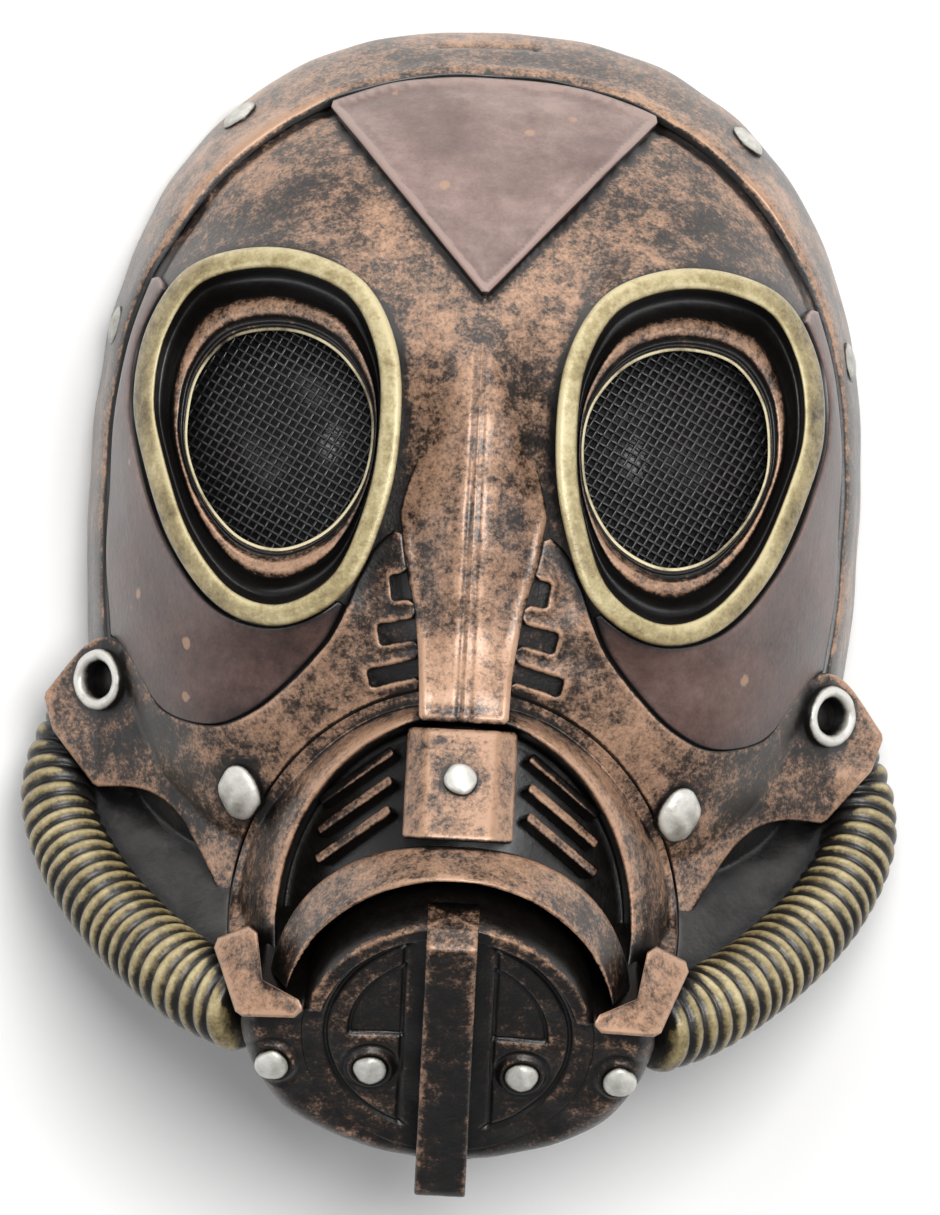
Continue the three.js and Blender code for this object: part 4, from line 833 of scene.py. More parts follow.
def band_relief(p, depth):
    slit = 0.8 * bell(line_distance(p, CROWN_SLIT), 0.5)
    pit = bell(np.linalg.norm(p - CROWN_SLIT[-1], axis=1), 1.0)
    return waves(p, 18, 0.18, 2) + 0.35 * bell(depth - 1.6, 1.0) - slit - pit


piece(
    "rim_band",
    sheet(
        polar_grid(np.linspace(-0.75, math.pi + 0.75, 520), np.linspace(1.05, math.pi / 2, 34)),
        Region(inside=[above_end], outside=[band_inner]),
        lambda p, lift: on_skin(p, lift, False),
        lambda p: on_skin(p, -0.2, False),
        thickness=BAND_THICKNESS + CLEARANCE - 0.5,
        relief=band_relief,
        edge=0.9,
    ),
    BRONZE,
    "latex_bronze",
    "rim_band",
)

# Forehead, cheeks and nose.
eye_claim = grow(eye_outer, 0.5)


def forehead_relief(p, depth):
    return 0.55 * bell(depth - 1.2, 0.9) - 0.25 * bell(depth - 3.0, 0.8) + waves(p, 15, 0.16, 3)


piece(
    "forehead_panel",
    sheet(
        flat_grid(-50, 50, 76, 140, 0.85),
        Region(inside=[forehead_loop, grow(band_inner, -0.4)]),
        on_skin,
        lambda p: on_skin(p, -0.3),
        thickness=PANEL_THICKNESS + CLEARANCE,
        relief=forehead_relief,
    ),
    BROW_SHEEN_BROWN,
    "latex_brown",
    "forehead_panel",
)

cheek = sheet(
    polar_grid(np.linspace(-1.35, 0.62, 190), np.linspace(0.28, 1.40, 100)),
    Region(
        inside=[face_loop(CHEEK_PANEL), grow(band_inner, -0.4)],
        outside=[eye_claim, grow(arm_loop, 0.35), muzzle_loop],
    ),
    on_skin,
    lambda p: on_skin(p, -0.3),
    thickness=PANEL_THICKNESS + CLEARANCE,
    relief=lambda p, depth: waves(p, 20, 0.2, 4) + 0.5 * smooth(0, 12, depth),
)
pair("cheek_panel", cheek, BROWN, "latex_brown", "cheek_panel")

nose_loop = face_loop(NOSE_PLATE, both=True)


def nose_top(p, lift):
    """The nose plate lies on the face and rises at its end onto the muzzle's upper rim."""
    made = on_skin(p, lift)
    rim = muzzle_height(p[:, 0], -26.0) + 4.0 + lift
    made[:, 2] += np.maximum(0, rim - made[:, 2]) * smooth(0, -24, p[:, 1])
    return made


def nose_relief(p, depth):
    """Two fine grooves down the middle; above, the plate runs out into the brow."""
    x, y = p[:, 0], p[:, 1]
    down = smooth(78, 72, y)
    grooves = -0.9 * bell(x + 1.0, 0.5) - 0.5 * bell(x - 1.0, 0.5)
    rim = 0.6 * bell(depth - 1.5, 1.0) * smooth(28, 14, y)
    brow = smooth(24, 42, y)
    run_out = brow * (NOSE_PLATE_THICKNESS + 0.7 * smooth(6, 0, depth))
    return grooves * down + rim - run_out + mix(waves(p, 14, 0.15, 5), waves(p, 26, 0.25, 1), brow)


nose = sheet(
    flat_grid(-19, 19, -28.4, 78, 0.62),
    Region(inside=[nose_loop], outside=[eye_claim, eye_claim * flip]),
    nose_top,
    lambda p: nose_top(p, -1.0),
    thickness=NOSE_PLATE_THICKNESS + CLEARANCE,
    relief=nose_relief,
)
# The nose plate is lighter between the eyes: a painted highlight.
piece("nose_plate", nose, BRIGHT_HIGHLIT_BRONZE, "latex_bronze", "nose_plate", dark=-0.3 * painted_highlight_between_eyes(nose[0]))


# Arms.
def slot_loop(row):
    x, y, half_x, half_y, slant = row
    x, half_x = x - 0.013, half_x + 0.013  # they run on under the nose plate
    corners = np.array([[-1, -1], [1, -1], [1, 1], [-1, 1]]) * [half_x * HALF_WIDTH, half_y * JAW_DROP]
    turn = math.radians(slant)
    spin = np.array([[math.cos(turn), math.sin(turn)], [-math.sin(turn), math.cos(turn)]])
    return rounded(corners @ spin, 1.0) + [face_x(x), face_y(y)]


slot_loops = [slot_loop(row) for row in VENT_SLOTS]
eyelet_at = np.array([face_x(EYELET_AT[0]), face_y(EYELET_AT[1])])
CREASE = np.array([[53, -80], [55, -60], [62, -42], [74, -38.5], [91, -37], [112, -38]], float)


def arm_relief(p, depth):
    slot_rims = np.zeros(len(p))
    for loop in slot_loops:
        d = loop_distance(p, loop)[0]
        slot_rims += 0.5 * bell(d + 1.0, 0.8)
    below = p[:, 1] < np.interp(p[:, 0], CREASE[:, 0], CREASE[:, 1])
    fold = np.where(below, line_distance(p, CREASE), 0) * smooth(60, 70, p[:, 0])
    hole = smooth(EYELET_HOLE + 0.4, EYELET_HOLE - 0.8, np.linalg.norm(p - eyelet_at, axis=1))
    return slot_rims - 0.1 * fold - 4.5 * hole + waves(p, 16, 0.2, 6)


def arm_at(p, lift):
    return np.column_stack([p, arm_front(*p.T) + lift])


def arm_foot(p):
    x, y = p[:, 0], p[:, 1]
    share = face_share(x, y)[0]
    low = arm_front(x, y) - FLANGE_THICKNESS
    return np.column_stack([p, np.where(share < 1, np.maximum(low, face_plain(x, y) - 0.2), low)])


arm = sheet(
    flat_grid(8, 110, -86, 26, 0.8),
    Region(inside=[arm_loop], outside=[eye_claim, muzzle_loop, grow(nose_loop, 0.5), *slot_loops]),
    arm_at,
    arm_foot,
    relief=arm_relief,
    edge=0.9,
    closed=True,
)
pair("arm_plate", arm, BRONZE, "latex_bronze", "arm_plate")

# Jaw webs.
jaw = sheet(
    flat_grid(50, 100, -104, -42, 1.0),
    Region(inside=[face_loop(JAW_PANEL)], outside=[muzzle_loop]),
    lambda p, lift: np.column_stack([p, jaw_front(*p.T) + lift]),
    lambda p: np.column_stack([p, jaw_front(*p.T) - WALL]),
    relief=lambda p, depth: waves(p, 14, 0.3, 7),
    closed=True,
)
pair("jaw_panel", jaw, BLACK, "latex_black", "jaw_panel")


# Eyes.
def over_seat(p, rise):
    return np.column_stack([p, eye_seat(*p.T) + rise])


def eye_rows(rows, steps):
    """Rings around the eye from rows of: way from one outline to the other, and rise above the seat."""
    rings = []
    for start, end, points in rows:
        for share, rise in profile(points, steps):
            rings.append(over_seat(mix(start, end, share), rise))
    return np.array(rings)


def shell_clamped(rings):
    """A ring outside the eye's hole ends on the face."""
    flat = rings.reshape(-1, 3)
    ground = face(flat[:, 0], flat[:, 1]) - 1.5
    flat[:, 2] = np.maximum(flat[:, 2], np.where(loop_distance(flat[:, :2], eye_hole)[0] < 0, ground, -1e9))
    return flat.reshape(rings.shape)


DISH = [
    (0.03, -3), (0.07, -6.2), (0.16, -8.8), (0.3, -9.3), (0.42, -8.0), (0.5, -6.0), (0.58, -5.0),
    (0.68, -4.9), (0.77, -5.6), (0.84, -7.4), (0.89, -7.9), (0.93, -7.4), (0.97, -7.9), (1.0, -9.4),
]
dish = eye_rows(
    [
        (eye_outer, eye_inner, [(0.05, -20), (0.05, -12), (0.05, -6), (0.05, -0.3)]),
        (eye_outer, eye_inner, [(0.5, -0.3), (1, -0.3)]),
        (eye_inner, lens_edge, DISH),
        (eye_inner, lens_edge, [(1, -11), (1, -DISH_DEPTH)]),
        (eye_inner, eye_outer, [(0.3, -DISH_DEPTH), (0.3, -DISH_DEPTH - 20)]),
    ],
    4,
)
# By the number of the ring: the trough is left black, the ridge around the lens is not.
DISH_DARK = [
    (0, 0.6), (24, 0.6), (27, 0.7), (34, 0.6), (37, 0.15),
    (42, 0.0), (54, 0.0), (60, 0.3), (64, 0.6), (99, 0.6),
]
trough = np.interp(np.arange(len(dish)), *np.transpose(DISH_DARK))
pair("eye_frame", loft(shell_clamped(dish), close=True), DARK_BRONZE, "latex_bronze", "eye_frame",
     dark=np.repeat(trough, EYE_STATIONS))

ring = []
wear = waves(np.column_stack([eye_outer, np.zeros(EYE_STATIONS)]), 22, 0.12, 8)
for turn in np.linspace(0, 2 * math.pi, 22, endpoint=False):
    reach = np.sign(np.cos(turn)) * abs(math.cos(turn)) ** 0.75
    rise = np.sign(np.sin(turn)) * abs(math.sin(turn)) ** 0.7
    lift = EYE_RING_HEIGHT * (0.5 + 0.5 * rise) + wear * rise
    ring.append(over_seat(mix(eye_outer, eye_inner, 0.5 + 0.56 * reach), lift))
pair("eye_ring", loft(ring, close=True), BRASS, "latex_brass", "eye_ring")

bead = []
for turn in np.linspace(0, 2 * math.pi, 10, endpoint=False):
    bead.append(over_seat(grow(lens_edge, 0.1 + 0.65 * math.cos(turn)), -9.3 + 0.65 * math.sin(turn)))
pair("eye_bead", loft(bead, close=True), CREAM, "latex_bronze")


def net(side):
    """A woven net: two families of wires that pass over and under each other."""
    edge = grow(lens_edge, 3.0)
    wires = []
    for family in (0, 1):
        turn = NET_TURN + family * math.pi / 2
        along = np.array([math.cos(turn) * side, math.sin(turn)])
        across = np.array([-along[1], along[0]])
        for k in range(-18, 19):
            t = np.arange(-40, 40, NET_PITCH / 4)
            p = np.array([LENS_X, LENS_Y]) + np.outer(t, along) + across * k * NET_PITCH
            inside = loop_distance(p, edge)[0] > 0
            if inside.sum() < 6:
                continue
            p, t = p[inside], t[inside]
            phase = np.cos(math.pi * t / NET_PITCH) * (1 if (k + family) % 2 else -1)
            height = eye_seat(*p.T) - DISH_DEPTH - MESH_DROP - 0.3 + 0.16 * phase
            rings = []
            for spin in np.linspace(0, 2 * math.pi, 5, endpoint=False):
                aside, up = NET_WIRE * 1.15 * math.cos(spin), NET_WIRE * 0.6 * math.sin(spin)
                rings.append(np.column_stack([p + across * aside, height + up]))
            wires.append(loft(np.array(rings).transpose(1, 0, 2)))
    return join(*wires)


# Black sheets behind the nets: painted shade for the dark inside of the mask.
behind = [over_seat(grow(lens_edge, 2.0), -DISH_DEPTH - MESH_DROP - drop) for drop in (1.4, 1.8)]
pair("eye_shade_sheet", loft(behind), SHADE_SHEET_BLACK, "net_black")
piece("eye_mesh_left", net(-1), NET, "net_black", "eye_mesh_left")
piece("eye_mesh_right", mirror(net(1)), NET, "net_black", "eye_mesh_right")


# Muzzle.
def mouth_ring(out, inward, drop, chin=1.0, shift=0.0):
    """A ring between the mouth's edge and the muzzle's outline, so far below the crest."""
    turn = np.linspace(0, 2 * math.pi, MOUTH_STATIONS, endpoint=False)
    half_width = mix(MOUTH_HALF_WIDTH, MUZZLE_HALF_WIDTH, out) * (1 - inward) + shift
    half_height = mix(MOUTH_HALF_HEIGHT, MUZZLE_HALF_HEIGHT, out) * (1 - inward) + shift
    x = half_width * np.cos(turn)
    y = MUZZLE_Y + half_height * np.sin(turn) * np.where(np.sin(turn) < 0, chin, 1.0)
    z = np.minimum(muzzle_height(x, y) - drop, muzzle_plane(y, CHIN_FRONT + max(0.0, -shift)))
    return np.column_stack([x, y, z])


MUZZLE_SKIN = [
    (1, 0, MUZZLE_DEPTH, 0.82), (1, 0, 60, 0.95), (1, 0, 40.3, 1), (0.985, 0, 24, 1), (0.9, 0, 14.3, 1),
    (0.75, 0, 9, 1), (0.6, 0, 5, 1), (0.47, 0, 1.5, 1), (0.35, 0, -1.5, 1), (0.24, 0, -3.3, 1),
    (0.12, 0, -4.1, 1),
]
MOUTH_EDGE = [(0.05, 0, -3.95), (0.02, 0, -3.6), (0, 0, -3.0), (0, 0.004, -2.0)]
MOUTH_WALL = [(0, 0.01, 1), (0, 0.016, 4), (0, 0.022, 7), (0, 0.028, 10), (0, 0.034, 12.2), (0, 0.05, 13)]
MUZZLE_INSIDE = [
    (0.0, 0.97, 16.5, 1), (0.0, 0.5, 16.5, 1), (0.1, 0, 16.5, 1), (0.7, 0, 20.7, 1), (1, 0, 42, 1),
    (1, 0, MUZZLE_DEPTH, 0.8),
]
skin = profile(MUZZLE_SKIN, 4)
rings = [mouth_ring(*row) for row in [*skin, *MOUTH_EDGE, *MOUTH_WALL]]
rings += [mouth_ring(0, i, MOUTH_DEPTH) for i in np.linspace(0.08, 0.97, 26)]
rings += [mouth_ring(*row, shift=-MUZZLE_WALL) for row in profile(MUZZLE_INSIDE, 3)]
rings = np.array(rings)
MUZZLE_LOWEST, SKIRT_START, SKIRT_END = 10, 9, 32
flat = rings.reshape(-1, 3)
outside = loop_distance(flat[:, :2], muzzle_hole)[0] < 0
at_x, at_y = flat[:, 0], flat[:, 1]
floor_line = np.where(face_share(at_x, at_y)[0] < 1, face_plain(at_x, at_y) - 0.5, MUZZLE_LOWEST)
flat[:, 2] = np.maximum(flat[:, 2], np.where(outside, floor_line, MUZZLE_LOWEST))
# Beside the arms the muzzle starts at their level.
skirt = flat[SKIRT_START * MOUTH_STATIONS : len(skin) * MOUTH_STATIONS]
at_x, at_y = skirt[:, 0], skirt[:, 1]
level = mix(jaw_front(at_x, at_y), arm_front(at_x, at_y), smooth(-84, -72, at_y)) - 0.7
skirt[:, 2] += np.maximum(0, level - skirt[:, 2]) * smooth(-106, -98, at_y)
flat[:, 2] += waves(flat, 20, 0.2, 9)
muzzle = loft(flat.reshape(rings.shape), close=True)
row = np.arange(len(rings))
# Inside the mouth the paint is black; on the skirt the hollows' painted shade is taken back.
dark = 0.45 * (row > len(skin) + len(MOUTH_EDGE)) - 0.5 * ((row >= SKIRT_START) & (row < SKIRT_END))
piece("muzzle", muzzle, BRONZE, "latex_bronze", "muzzle", dark=np.repeat(dark, MOUTH_STATIONS))


# Slats.
def mouth_floor(x, y, rise):
    return muzzle_height(x, y) - MOUTH_DEPTH + rise


def rod(a, b, up, half_width, half_height, bevel):
    """A straight bar with rounded edges between two points."""
    a, b, up = (np.array(v, float) for v in (a, b, up))
    along = (b - a) / np.linalg.norm(b - a)
    side = np.cross(along, up)
    side /= np.linalg.norm(side)
    up = np.cross(side, along)
    length = np.linalg.norm(b - a)
    corners = np.array([[-1, -1], [1, -1], [1, 1], [-1, 1]], float) * [half_width, half_height]
    section = resample(rounded(corners, bevel), 44)
    inner = np.linspace(bevel, length - bevel, max(3, int(length / 1.5)))
    turns = np.linspace(0, math.pi / 2, 4)[:-1]
    steps = [(bevel * (1 - math.cos(v)), bevel * (1 - math.sin(v))) for v in turns]
    path = [*steps, *((s, 0.0) for s in inner), *((length - s, d) for s, d in reversed(steps))]
    made = []
    for s, draw in path:
        scaled = section * (1 - draw / np.array([half_width, half_height]))
        made.append(a + along * s + np.outer(scaled[:, 0], side) + np.outer(scaled[:, 1], up))
    return loft(made)


slats = []
for i in range(SLATS):
    x = SLAT_MIDDLE[0] * MOUTH_HALF_WIDTH
    y = MUZZLE_Y + SLAT_MIDDLE[1] * MOUTH_HALF_HEIGHT - i * SLAT_PITCH
    way = np.array([math.cos(SLAT_SLANT), -math.sin(SLAT_SLANT)])
    near = np.array([x, y]) - way * SLAT_LENGTH * 0.46
    far = np.array([x, y]) + way * SLAT_LENGTH * 0.42
    ends = [(*q, mouth_floor(q[0], q[1], 1.6 + SLAT_RISE * 0.5)) for q in (near, far)]
    slats.append(rod(ends[0], ends[1], (0.35, 0.35, 1), SLAT_WIDTH / 2, SLAT_RISE / 2, 0.7))
pair("mouth_gill", join(*slats), SLAT_BRONZE, "latex_bronze", "mouth_gill")


# Lip and bracket.
def lip_point(kind, turn):
    half_width, height, corner = kind

    def reach(v):
        return np.sign(v) * np.abs(v) ** (2 / corner)

    return half_width * reach(math.cos(turn)), LIP_Y + height * reach(math.sin(turn))


lip = []
for turn in np.linspace(LIP_END, math.pi - LIP_END, 150):
    outer, inner_at = lip_point(LIP_OUTER, turn), lip_point(LIP_INNER, turn)
    fall = LIP_END_FALL * math.cos(turn) ** 2
    top_out = muzzle_height(*outer) + LIP_UPPER - fall
    top_in = muzzle_height(*inner_at) + LIP_LOWER - fall
    width = math.hypot(outer[0] - inner_at[0], outer[1] - inner_at[1])
    from_middle = (outer[0] / MOUTH_HALF_WIDTH) ** 2 + ((outer[1] - MUZZLE_Y) / MOUTH_HALF_HEIGHT) ** 2
    root = mix(4.0, MOUTH_DEPTH + 1, smooth(1.0, 0.8, from_middle))
    low_out, low_in = muzzle_height(*outer) - root, muzzle_height(*inner_at) - root
    section = rounded(np.array([(0, low_out), (0, top_out), (width, top_in), (width, low_in)]), 1.6, 6)
    closed = resample(np.roll(section, -7, 0), 64)
    share = closed[:, 0] / width
    xy = np.outer(1 - share, outer) + np.outer(share, inner_at)
    lip.append(np.column_stack([xy, closed[:, 1]]))
lip = np.array(lip)
lip[:, :, 2] += waves(lip.reshape(-1, 3), 16, 0.2, 10).reshape(lip.shape[:2])
piece("mouth_lip", loft(lip), BRONZE, "latex_bronze", "mouth_lip")


def bracket_lift(y):
    return muzzle_height(0, BRACKET_BOTTOM) + BRACKET_RISE + BRACKET_SLOPE * (y - BRACKET_BOTTOM)


bracket = []
ends = [(0.0, 1.0), (0.3, 0.45), (1.0, 0.0)]
stations = [(BRACKET_BOTTOM + s, d) for s, d in ends]
stations += [(y, 0.0) for y in np.linspace(BRACKET_BOTTOM + 2, BRACKET_TOP - 2, 24)]
stations += [(BRACKET_TOP - s, d) for s, d in reversed(ends)]
for y, draw in stations:
    root = mouth_floor(0, y, -1.0) - bracket_lift(y)
    corners = np.array([
        (-BRACKET_BASE, root), (BRACKET_BASE, root), (BRACKET_BASE, -BRACKET_CHAMFER), (BRACKET_FRONT, 0),
        (-BRACKET_FRONT, 0), (-BRACKET_BASE, -BRACKET_CHAMFER),
    ])
    section = resample(rounded(corners, 1.1, 5), 90)
    section = section * [1 - draw * 0.8 / BRACKET_BASE, 1] - [0, draw]
    bracket.append(np.column_stack([section[:, 0], np.full(90, y), bracket_lift(y) + section[:, 1]]))
piece("mouth_bracket", loft(bracket), BRIGHT_HIGHLIT_BRONZE, "latex_bronze", "mouth_bracket")

# Can, chin and bar, in the can's tilted frame.
CAN_RIVET_AT = (0.52 * CAN_RADIUS, -0.31 * CAN_RADIUS)
CHIN_RIVET_AT = (1.19 * CAN_RADIUS, -0.31 * CAN_RADIUS)
chin_half = [(r[0] * CAN_RADIUS, r[1] * CAN_RADIUS, *r[2:]) for r in CHIN_OUTLINE]
chin_loop = curve(chin_half + [(-r[0], *r[1:]) for r in reversed(chin_half[1:-1])])


def in_can(rings):
    return from_can(rings.reshape(-1, 3)).reshape(rings.shape)


def can_top(p):
    """Height of the can's and the chin's common front."""
    u, v = np.abs(p[:, 0]), p[:, 1]
    r = np.hypot(u, v)
    above = smooth(CAN_RIM_END - 0.6, CAN_RIM_END + 0.6, v)
    inner_edge = CAN_RADIUS - CAN_RIM_WIDTH
    rim = CAN_RIM_HEIGHT * smooth(inner_edge - 0.6, inner_edge + 0.6, r) * above
    groove = 1.1 * bell(r - DISC_GROOVE_RADIUS, 0.6) * smooth(BAR_CLEAR - 3, BAR_CLEAR, u)
    beside_bar = smooth(BAR_CLEAR - 0.3, BAR_CLEAR + 0.3, u)
    pocket = smooth(POCKET_RADIUS + 0.3, POCKET_RADIUS - 0.3, r) * beside_bar * smooth(-0.9, -0.3, v)
    off_bar = smooth(BAR_CLEAR - 1, BAR_CLEAR, u)
    line = 0.7 * bell(v + 0.6, CRACK_WIDTH) * smooth(POCKET_RADIUS + 1, POCKET_RADIUS - 1, r) * off_bar
    line += 0.7 * bell(u - BAR_CLEAR, CRACK_WIDTH) * smooth(DISC_GROOVE_RADIUS + 1, DISC_GROOVE_RADIUS - 1, r)
    line += 0.8 * bell(r - POCKET_RADIUS, CRACK_WIDTH) * smooth(-1.5, 0.5, v) * off_bar
    boss = np.zeros(len(p))
    for at in (CAN_RIVET_AT, CHIN_RIVET_AT):
        away = np.hypot(u - at[0], v - at[1])
        boss += 0.9 * bell(away - 5.2, 0.9) - 0.6 * bell(away - 6.9, 0.8)
    return rim - groove - 0.9 * pocket - line + boss + waves(p, 17, 0.22, 11)


turns = np.linspace(0, 2 * math.pi, CAN_STATIONS, endpoint=False)
round_can = np.column_stack([np.cos(turns), np.sin(turns)])
edge_radii = CAN_RADIUS - CAN_EDGE * np.array([0.7, 0.4, 0.15, 0.0])
rings = []
for r in [*np.linspace(0.4, CAN_RADIUS - 1.0, 100), *edge_radii]:
    p = r * round_can
    rounding = CAN_EDGE * max(0.0, 1 - (CAN_RADIUS - r) / CAN_EDGE) ** 2
    rounding = rounding * smooth(CAN_RIM_END - 1, CAN_RIM_END + 1, p[:, 1])
    rings.append(np.column_stack([p, can_top(p) - rounding]))
for back in np.linspace(-2.5, -CAN_DEPTH, 7):
    rings.append(np.column_stack([CAN_RADIUS * round_can, np.full(CAN_STATIONS, back)]))
rings = np.array(rings)
can_flat = np.vstack([rings.reshape(-1, 3), rings[[0, -1]].mean(1)])
on_wall = smooth(CAN_RADIUS - 0.1, CAN_RADIUS, np.hypot(can_flat[:, 0], can_flat[:, 1]))
below_rim = smooth(1.6, 0.4, can_flat[:, 2] + CAN_RIM_HEIGHT * (can_flat[:, 1] < CAN_RIM_END))
can_wall = on_wall * below_rim * smooth(3, 15, np.abs(can_flat[:, 0]))
piece("filter_can", loft(in_can(rings)), FRONT_BRONZE, "latex_bronze", "filter_can", dark=can_wall)


def no_relief(p, depth):
    return np.zeros(len(p))


def chin_at(p, lift):
    depth = loop_distance(p, chin_loop)[0]
    sunk = 4.6 * np.clip(1 - depth / 6.5, 0, 1) ** 2.4 * smooth(6, 0, p[:, 1])
    return from_can(np.column_stack([p, can_top(p) - sunk + lift]))


def chin_foot(p):
    middle = np.array([0, CHIN_OUTLINE[-1][1] * CAN_RADIUS * 0.35])
    return from_can(np.column_stack([middle + (p - middle) * 0.9, np.full(len(p), -CHIN_DEPTH)]))


chin = sheet(
    flat_grid(-54, 54, -45, 20, 0.8),
    Region(inside=[chin_loop], outside=[(CAN_RADIUS + 0.05) * round_can]),
    chin_at,
    chin_foot,
    no_relief,
    edge=0.3,
)
piece("chin", chin, FRONT_BRONZE, "latex_bronze", "chin")

bar_rows = [(BAR_BOTTOM + v, front) for v, front in BAR_FOOT]
bar_rows += [(v, BAR_FRONT) for v in np.linspace(BAR_BOTTOM + 5, BAR_TOP - 2.4, 40)]
bar_rows += [(BAR_TOP + v, front) for v, front in BAR_HEAD]
bar = []
for v, front in bar_rows:
    corners = np.array([(-1, BAR_ROOT), (1, BAR_ROOT), (1, front), (-1, front)]) * [BAR_WIDTH / 2, 1]
    section = resample(rounded(corners, 1.0, 5), 80)
    bar.append(np.column_stack([section[:, 0], np.full(80, v), section[:, 1]]))
piece("filter_bar", loft(in_can(np.array(bar))), FRONT_BRONZE, "latex_bronze", "filter_bar")

# Collars.
can_middle = np.array([0, CAN_Y, CAN_Z])
collar_points = np.array(COLLAR_CORNERS) * [MUZZLE_HALF_WIDTH, MUZZLE_HALF_HEIGHT, MUZZLE_CREST] + can_middle
collar_middle = collar_points.mean(0)
COLLAR_ROOT = 52


def collar_height(x, y):
    """Flat facets from the collar's middle to its corners."""
    z = np.full(len(x), collar_middle[2])
    best = np.full(len(x), -1e9)
    spokes = collar_points - collar_middle
    for a, b in zip(spokes, np.roll(spokes, -1, 0)):
        weights = np.linalg.solve(np.array([a[:2], b[:2]]).T, np.stack([x, y]) - collar_middle[:2, None])
        inside = weights.min(0)
        value = collar_middle[2] + weights[0] * a[2] + weights[1] * b[2]
        z = np.where(inside > best, value, z)
        best = np.maximum(best, inside)
    return z


collar_loop = curve([(*c[:2], 1) for c in collar_points])
collar = sheet(
    flat_grid(35, 63, -108, -80, 0.75),
    Region(inside=[collar_loop]),
    lambda p, lift: np.column_stack([p, collar_height(*p.T) + lift]),
    lambda p: np.column_stack([p, np.maximum(COLLAR_ROOT, face_plain(*p.T))]),
    lambda p, depth: waves(p, 12, 0.2, 12),
    edge=1.3,
    rows=4,
)
pair("hose_collar", collar, BRIGHT_HIGHLIT_BRONZE, "latex_bronze", "hose_collar")

# Hoses.
route = profile(HOSE_ROUTE, 40)
length = np.concatenate([[0], np.cumsum(np.linalg.norm(np.diff(route, axis=0), axis=1))])
at = np.linspace(0, length[-1], HOSE_RIBS * STEPS_A_RIB + 1)
centres = np.stack([np.interp(at, length, route[:, k]) for k in range(3)], 1)
ways = np.gradient(centres, axis=0)
ways /= np.linalg.norm(ways, axis=1, keepdims=True)
side = np.array([0.0, 0.0, 1.0])
hose = []
for i, (centre, way) in enumerate(zip(centres, ways)):
    side = side - way * (side @ way)
    side /= np.linalg.norm(side)
    other = np.cross(way, side)
    along = i / (len(centres) - 1)
    phase = i / STEPS_A_RIB
    crest = mix(HOSE_FLANGE_RADIUS, HOSE_COLLAR_RADIUS, along)
    rib = abs(math.sin(math.pi * phase)) ** 0.7
    spin = np.linspace(0, 2 * math.pi, 36, endpoint=False)
    lean = 0.25 * np.sin(spin + phase * 2.1) + 0.2 * np.sin(2 * spin - phase * 1.3)
    radius = crest - HOSE_RIB_HEIGHT * (1 - rib) + 0.12 * lean
    hose.append(centre + radius[:, None] * (np.outer(np.cos(spin), side) + np.outer(np.sin(spin), other)))
pair("hose", loft(hose), HOSE_BRASS, "latex_brass", "hose")


# Rivets and eyelets.
def lathe(rows, around=28):
    spin = np.linspace(0, 2 * math.pi, around, endpoint=False)
    return np.array([
        np.column_stack([r * np.cos(spin), r * np.sin(spin), np.full(around, z)]) for r, z in rows
    ])


def placed(rings, point, normal):
    turn = np.array(Vector((0, 0, 1)).rotation_difference(Vector(normal)).to_matrix())
    return rings @ turn.T + point


def dome(radius, height, seed, stretch=(1, 1)):
    rows = [(radius, -1.5), (radius, 0.12 * height)]
    rows += [(radius * math.cos(t), height * (0.2 + 0.8 * math.sin(t))) for t in np.linspace(0.12, 1.45, 9)]
    rings = lathe(rows) * [*stretch, 1]
    flat = rings.reshape(-1, 3)
    flat[:, :2] *= 1 + waves(flat[:, :2], radius * 1.3, 0.035, seed)[:, None]
    flat[:, 2] += waves(flat[:, :2], radius * 0.9, 0.035 * height, seed + 50)
    return flat.reshape(rings.shape)


def normal_at(height, x, y):
    step = 2.0
    x, y = np.float64(x), np.float64(y)
    slopes = [height(x + step, y) - height(x - step, y), height(x, y + step) - height(x, y - step)]
    normal = np.array([-slopes[0] / (2 * step), -slopes[1] / (2 * step), 1.0])
    return normal / np.linalg.norm(normal)


def scalar(height):
    return lambda x, y: float(height(np.array([x]), np.array([y]))[0])


for i, (name, (across, up)) in enumerate(BAND_RIVETS.items()):
    x, y = face_x(across), face_y(up)
    normal = normal_at(scalar(face), x, y)
    point = np.array([x, y, scalar(face)(x, y)]) + normal * (CLEARANCE + BAND_THICKNESS - 1.0)
    pair(f"band_rivet_{name}", loft(placed(dome(*BAND_RIVET, 20 + i), point, normal)), SILVER, "latex_silver",
         f"band_rivet_{name}")

x, y = face_x(ARM_RIVET_AT[0]), face_y(ARM_RIVET_AT[1])
arm_z = scalar(arm_front)
point = np.array([x, y, arm_z(x, y)])
arm_dome = placed(dome(*ARM_RIVET, 23, (0.92, 1.08)), point, normal_at(arm_z, x, y))
pair("arm_rivet", loft(arm_dome), SILVER, "latex_silver", "arm_rivet")

x, y = eyelet_at
rows = [(EYELET_HOLE, -3.0), (EYELET_HOLE, 0.6)]
middle, half = (EYELET_OUTER + EYELET_HOLE) / 2, (EYELET_OUTER - EYELET_HOLE) / 2
for t in np.linspace(0.2, math.pi - 0.2, 9):
    rows.append((middle - half * math.cos(t), 0.8 + (EYELET_HEIGHT - 0.8) * math.sin(t)))
rows += [(EYELET_OUTER, 0.6), (EYELET_OUTER, -2.0)]
rings = lathe(rows, 40)
flat = rings.reshape(-1, 3)
flat[:, 2] += waves(flat[:, :2], 5, 0.12, 31) * (flat[:, 2] > 0)
eyelet = placed(rings, np.array([x, y, arm_z(x, y)]), normal_at(arm_z, x, y))
pair("eyelet", loft(eyelet, close=True), SILVER, "latex_silver", "eyelet")

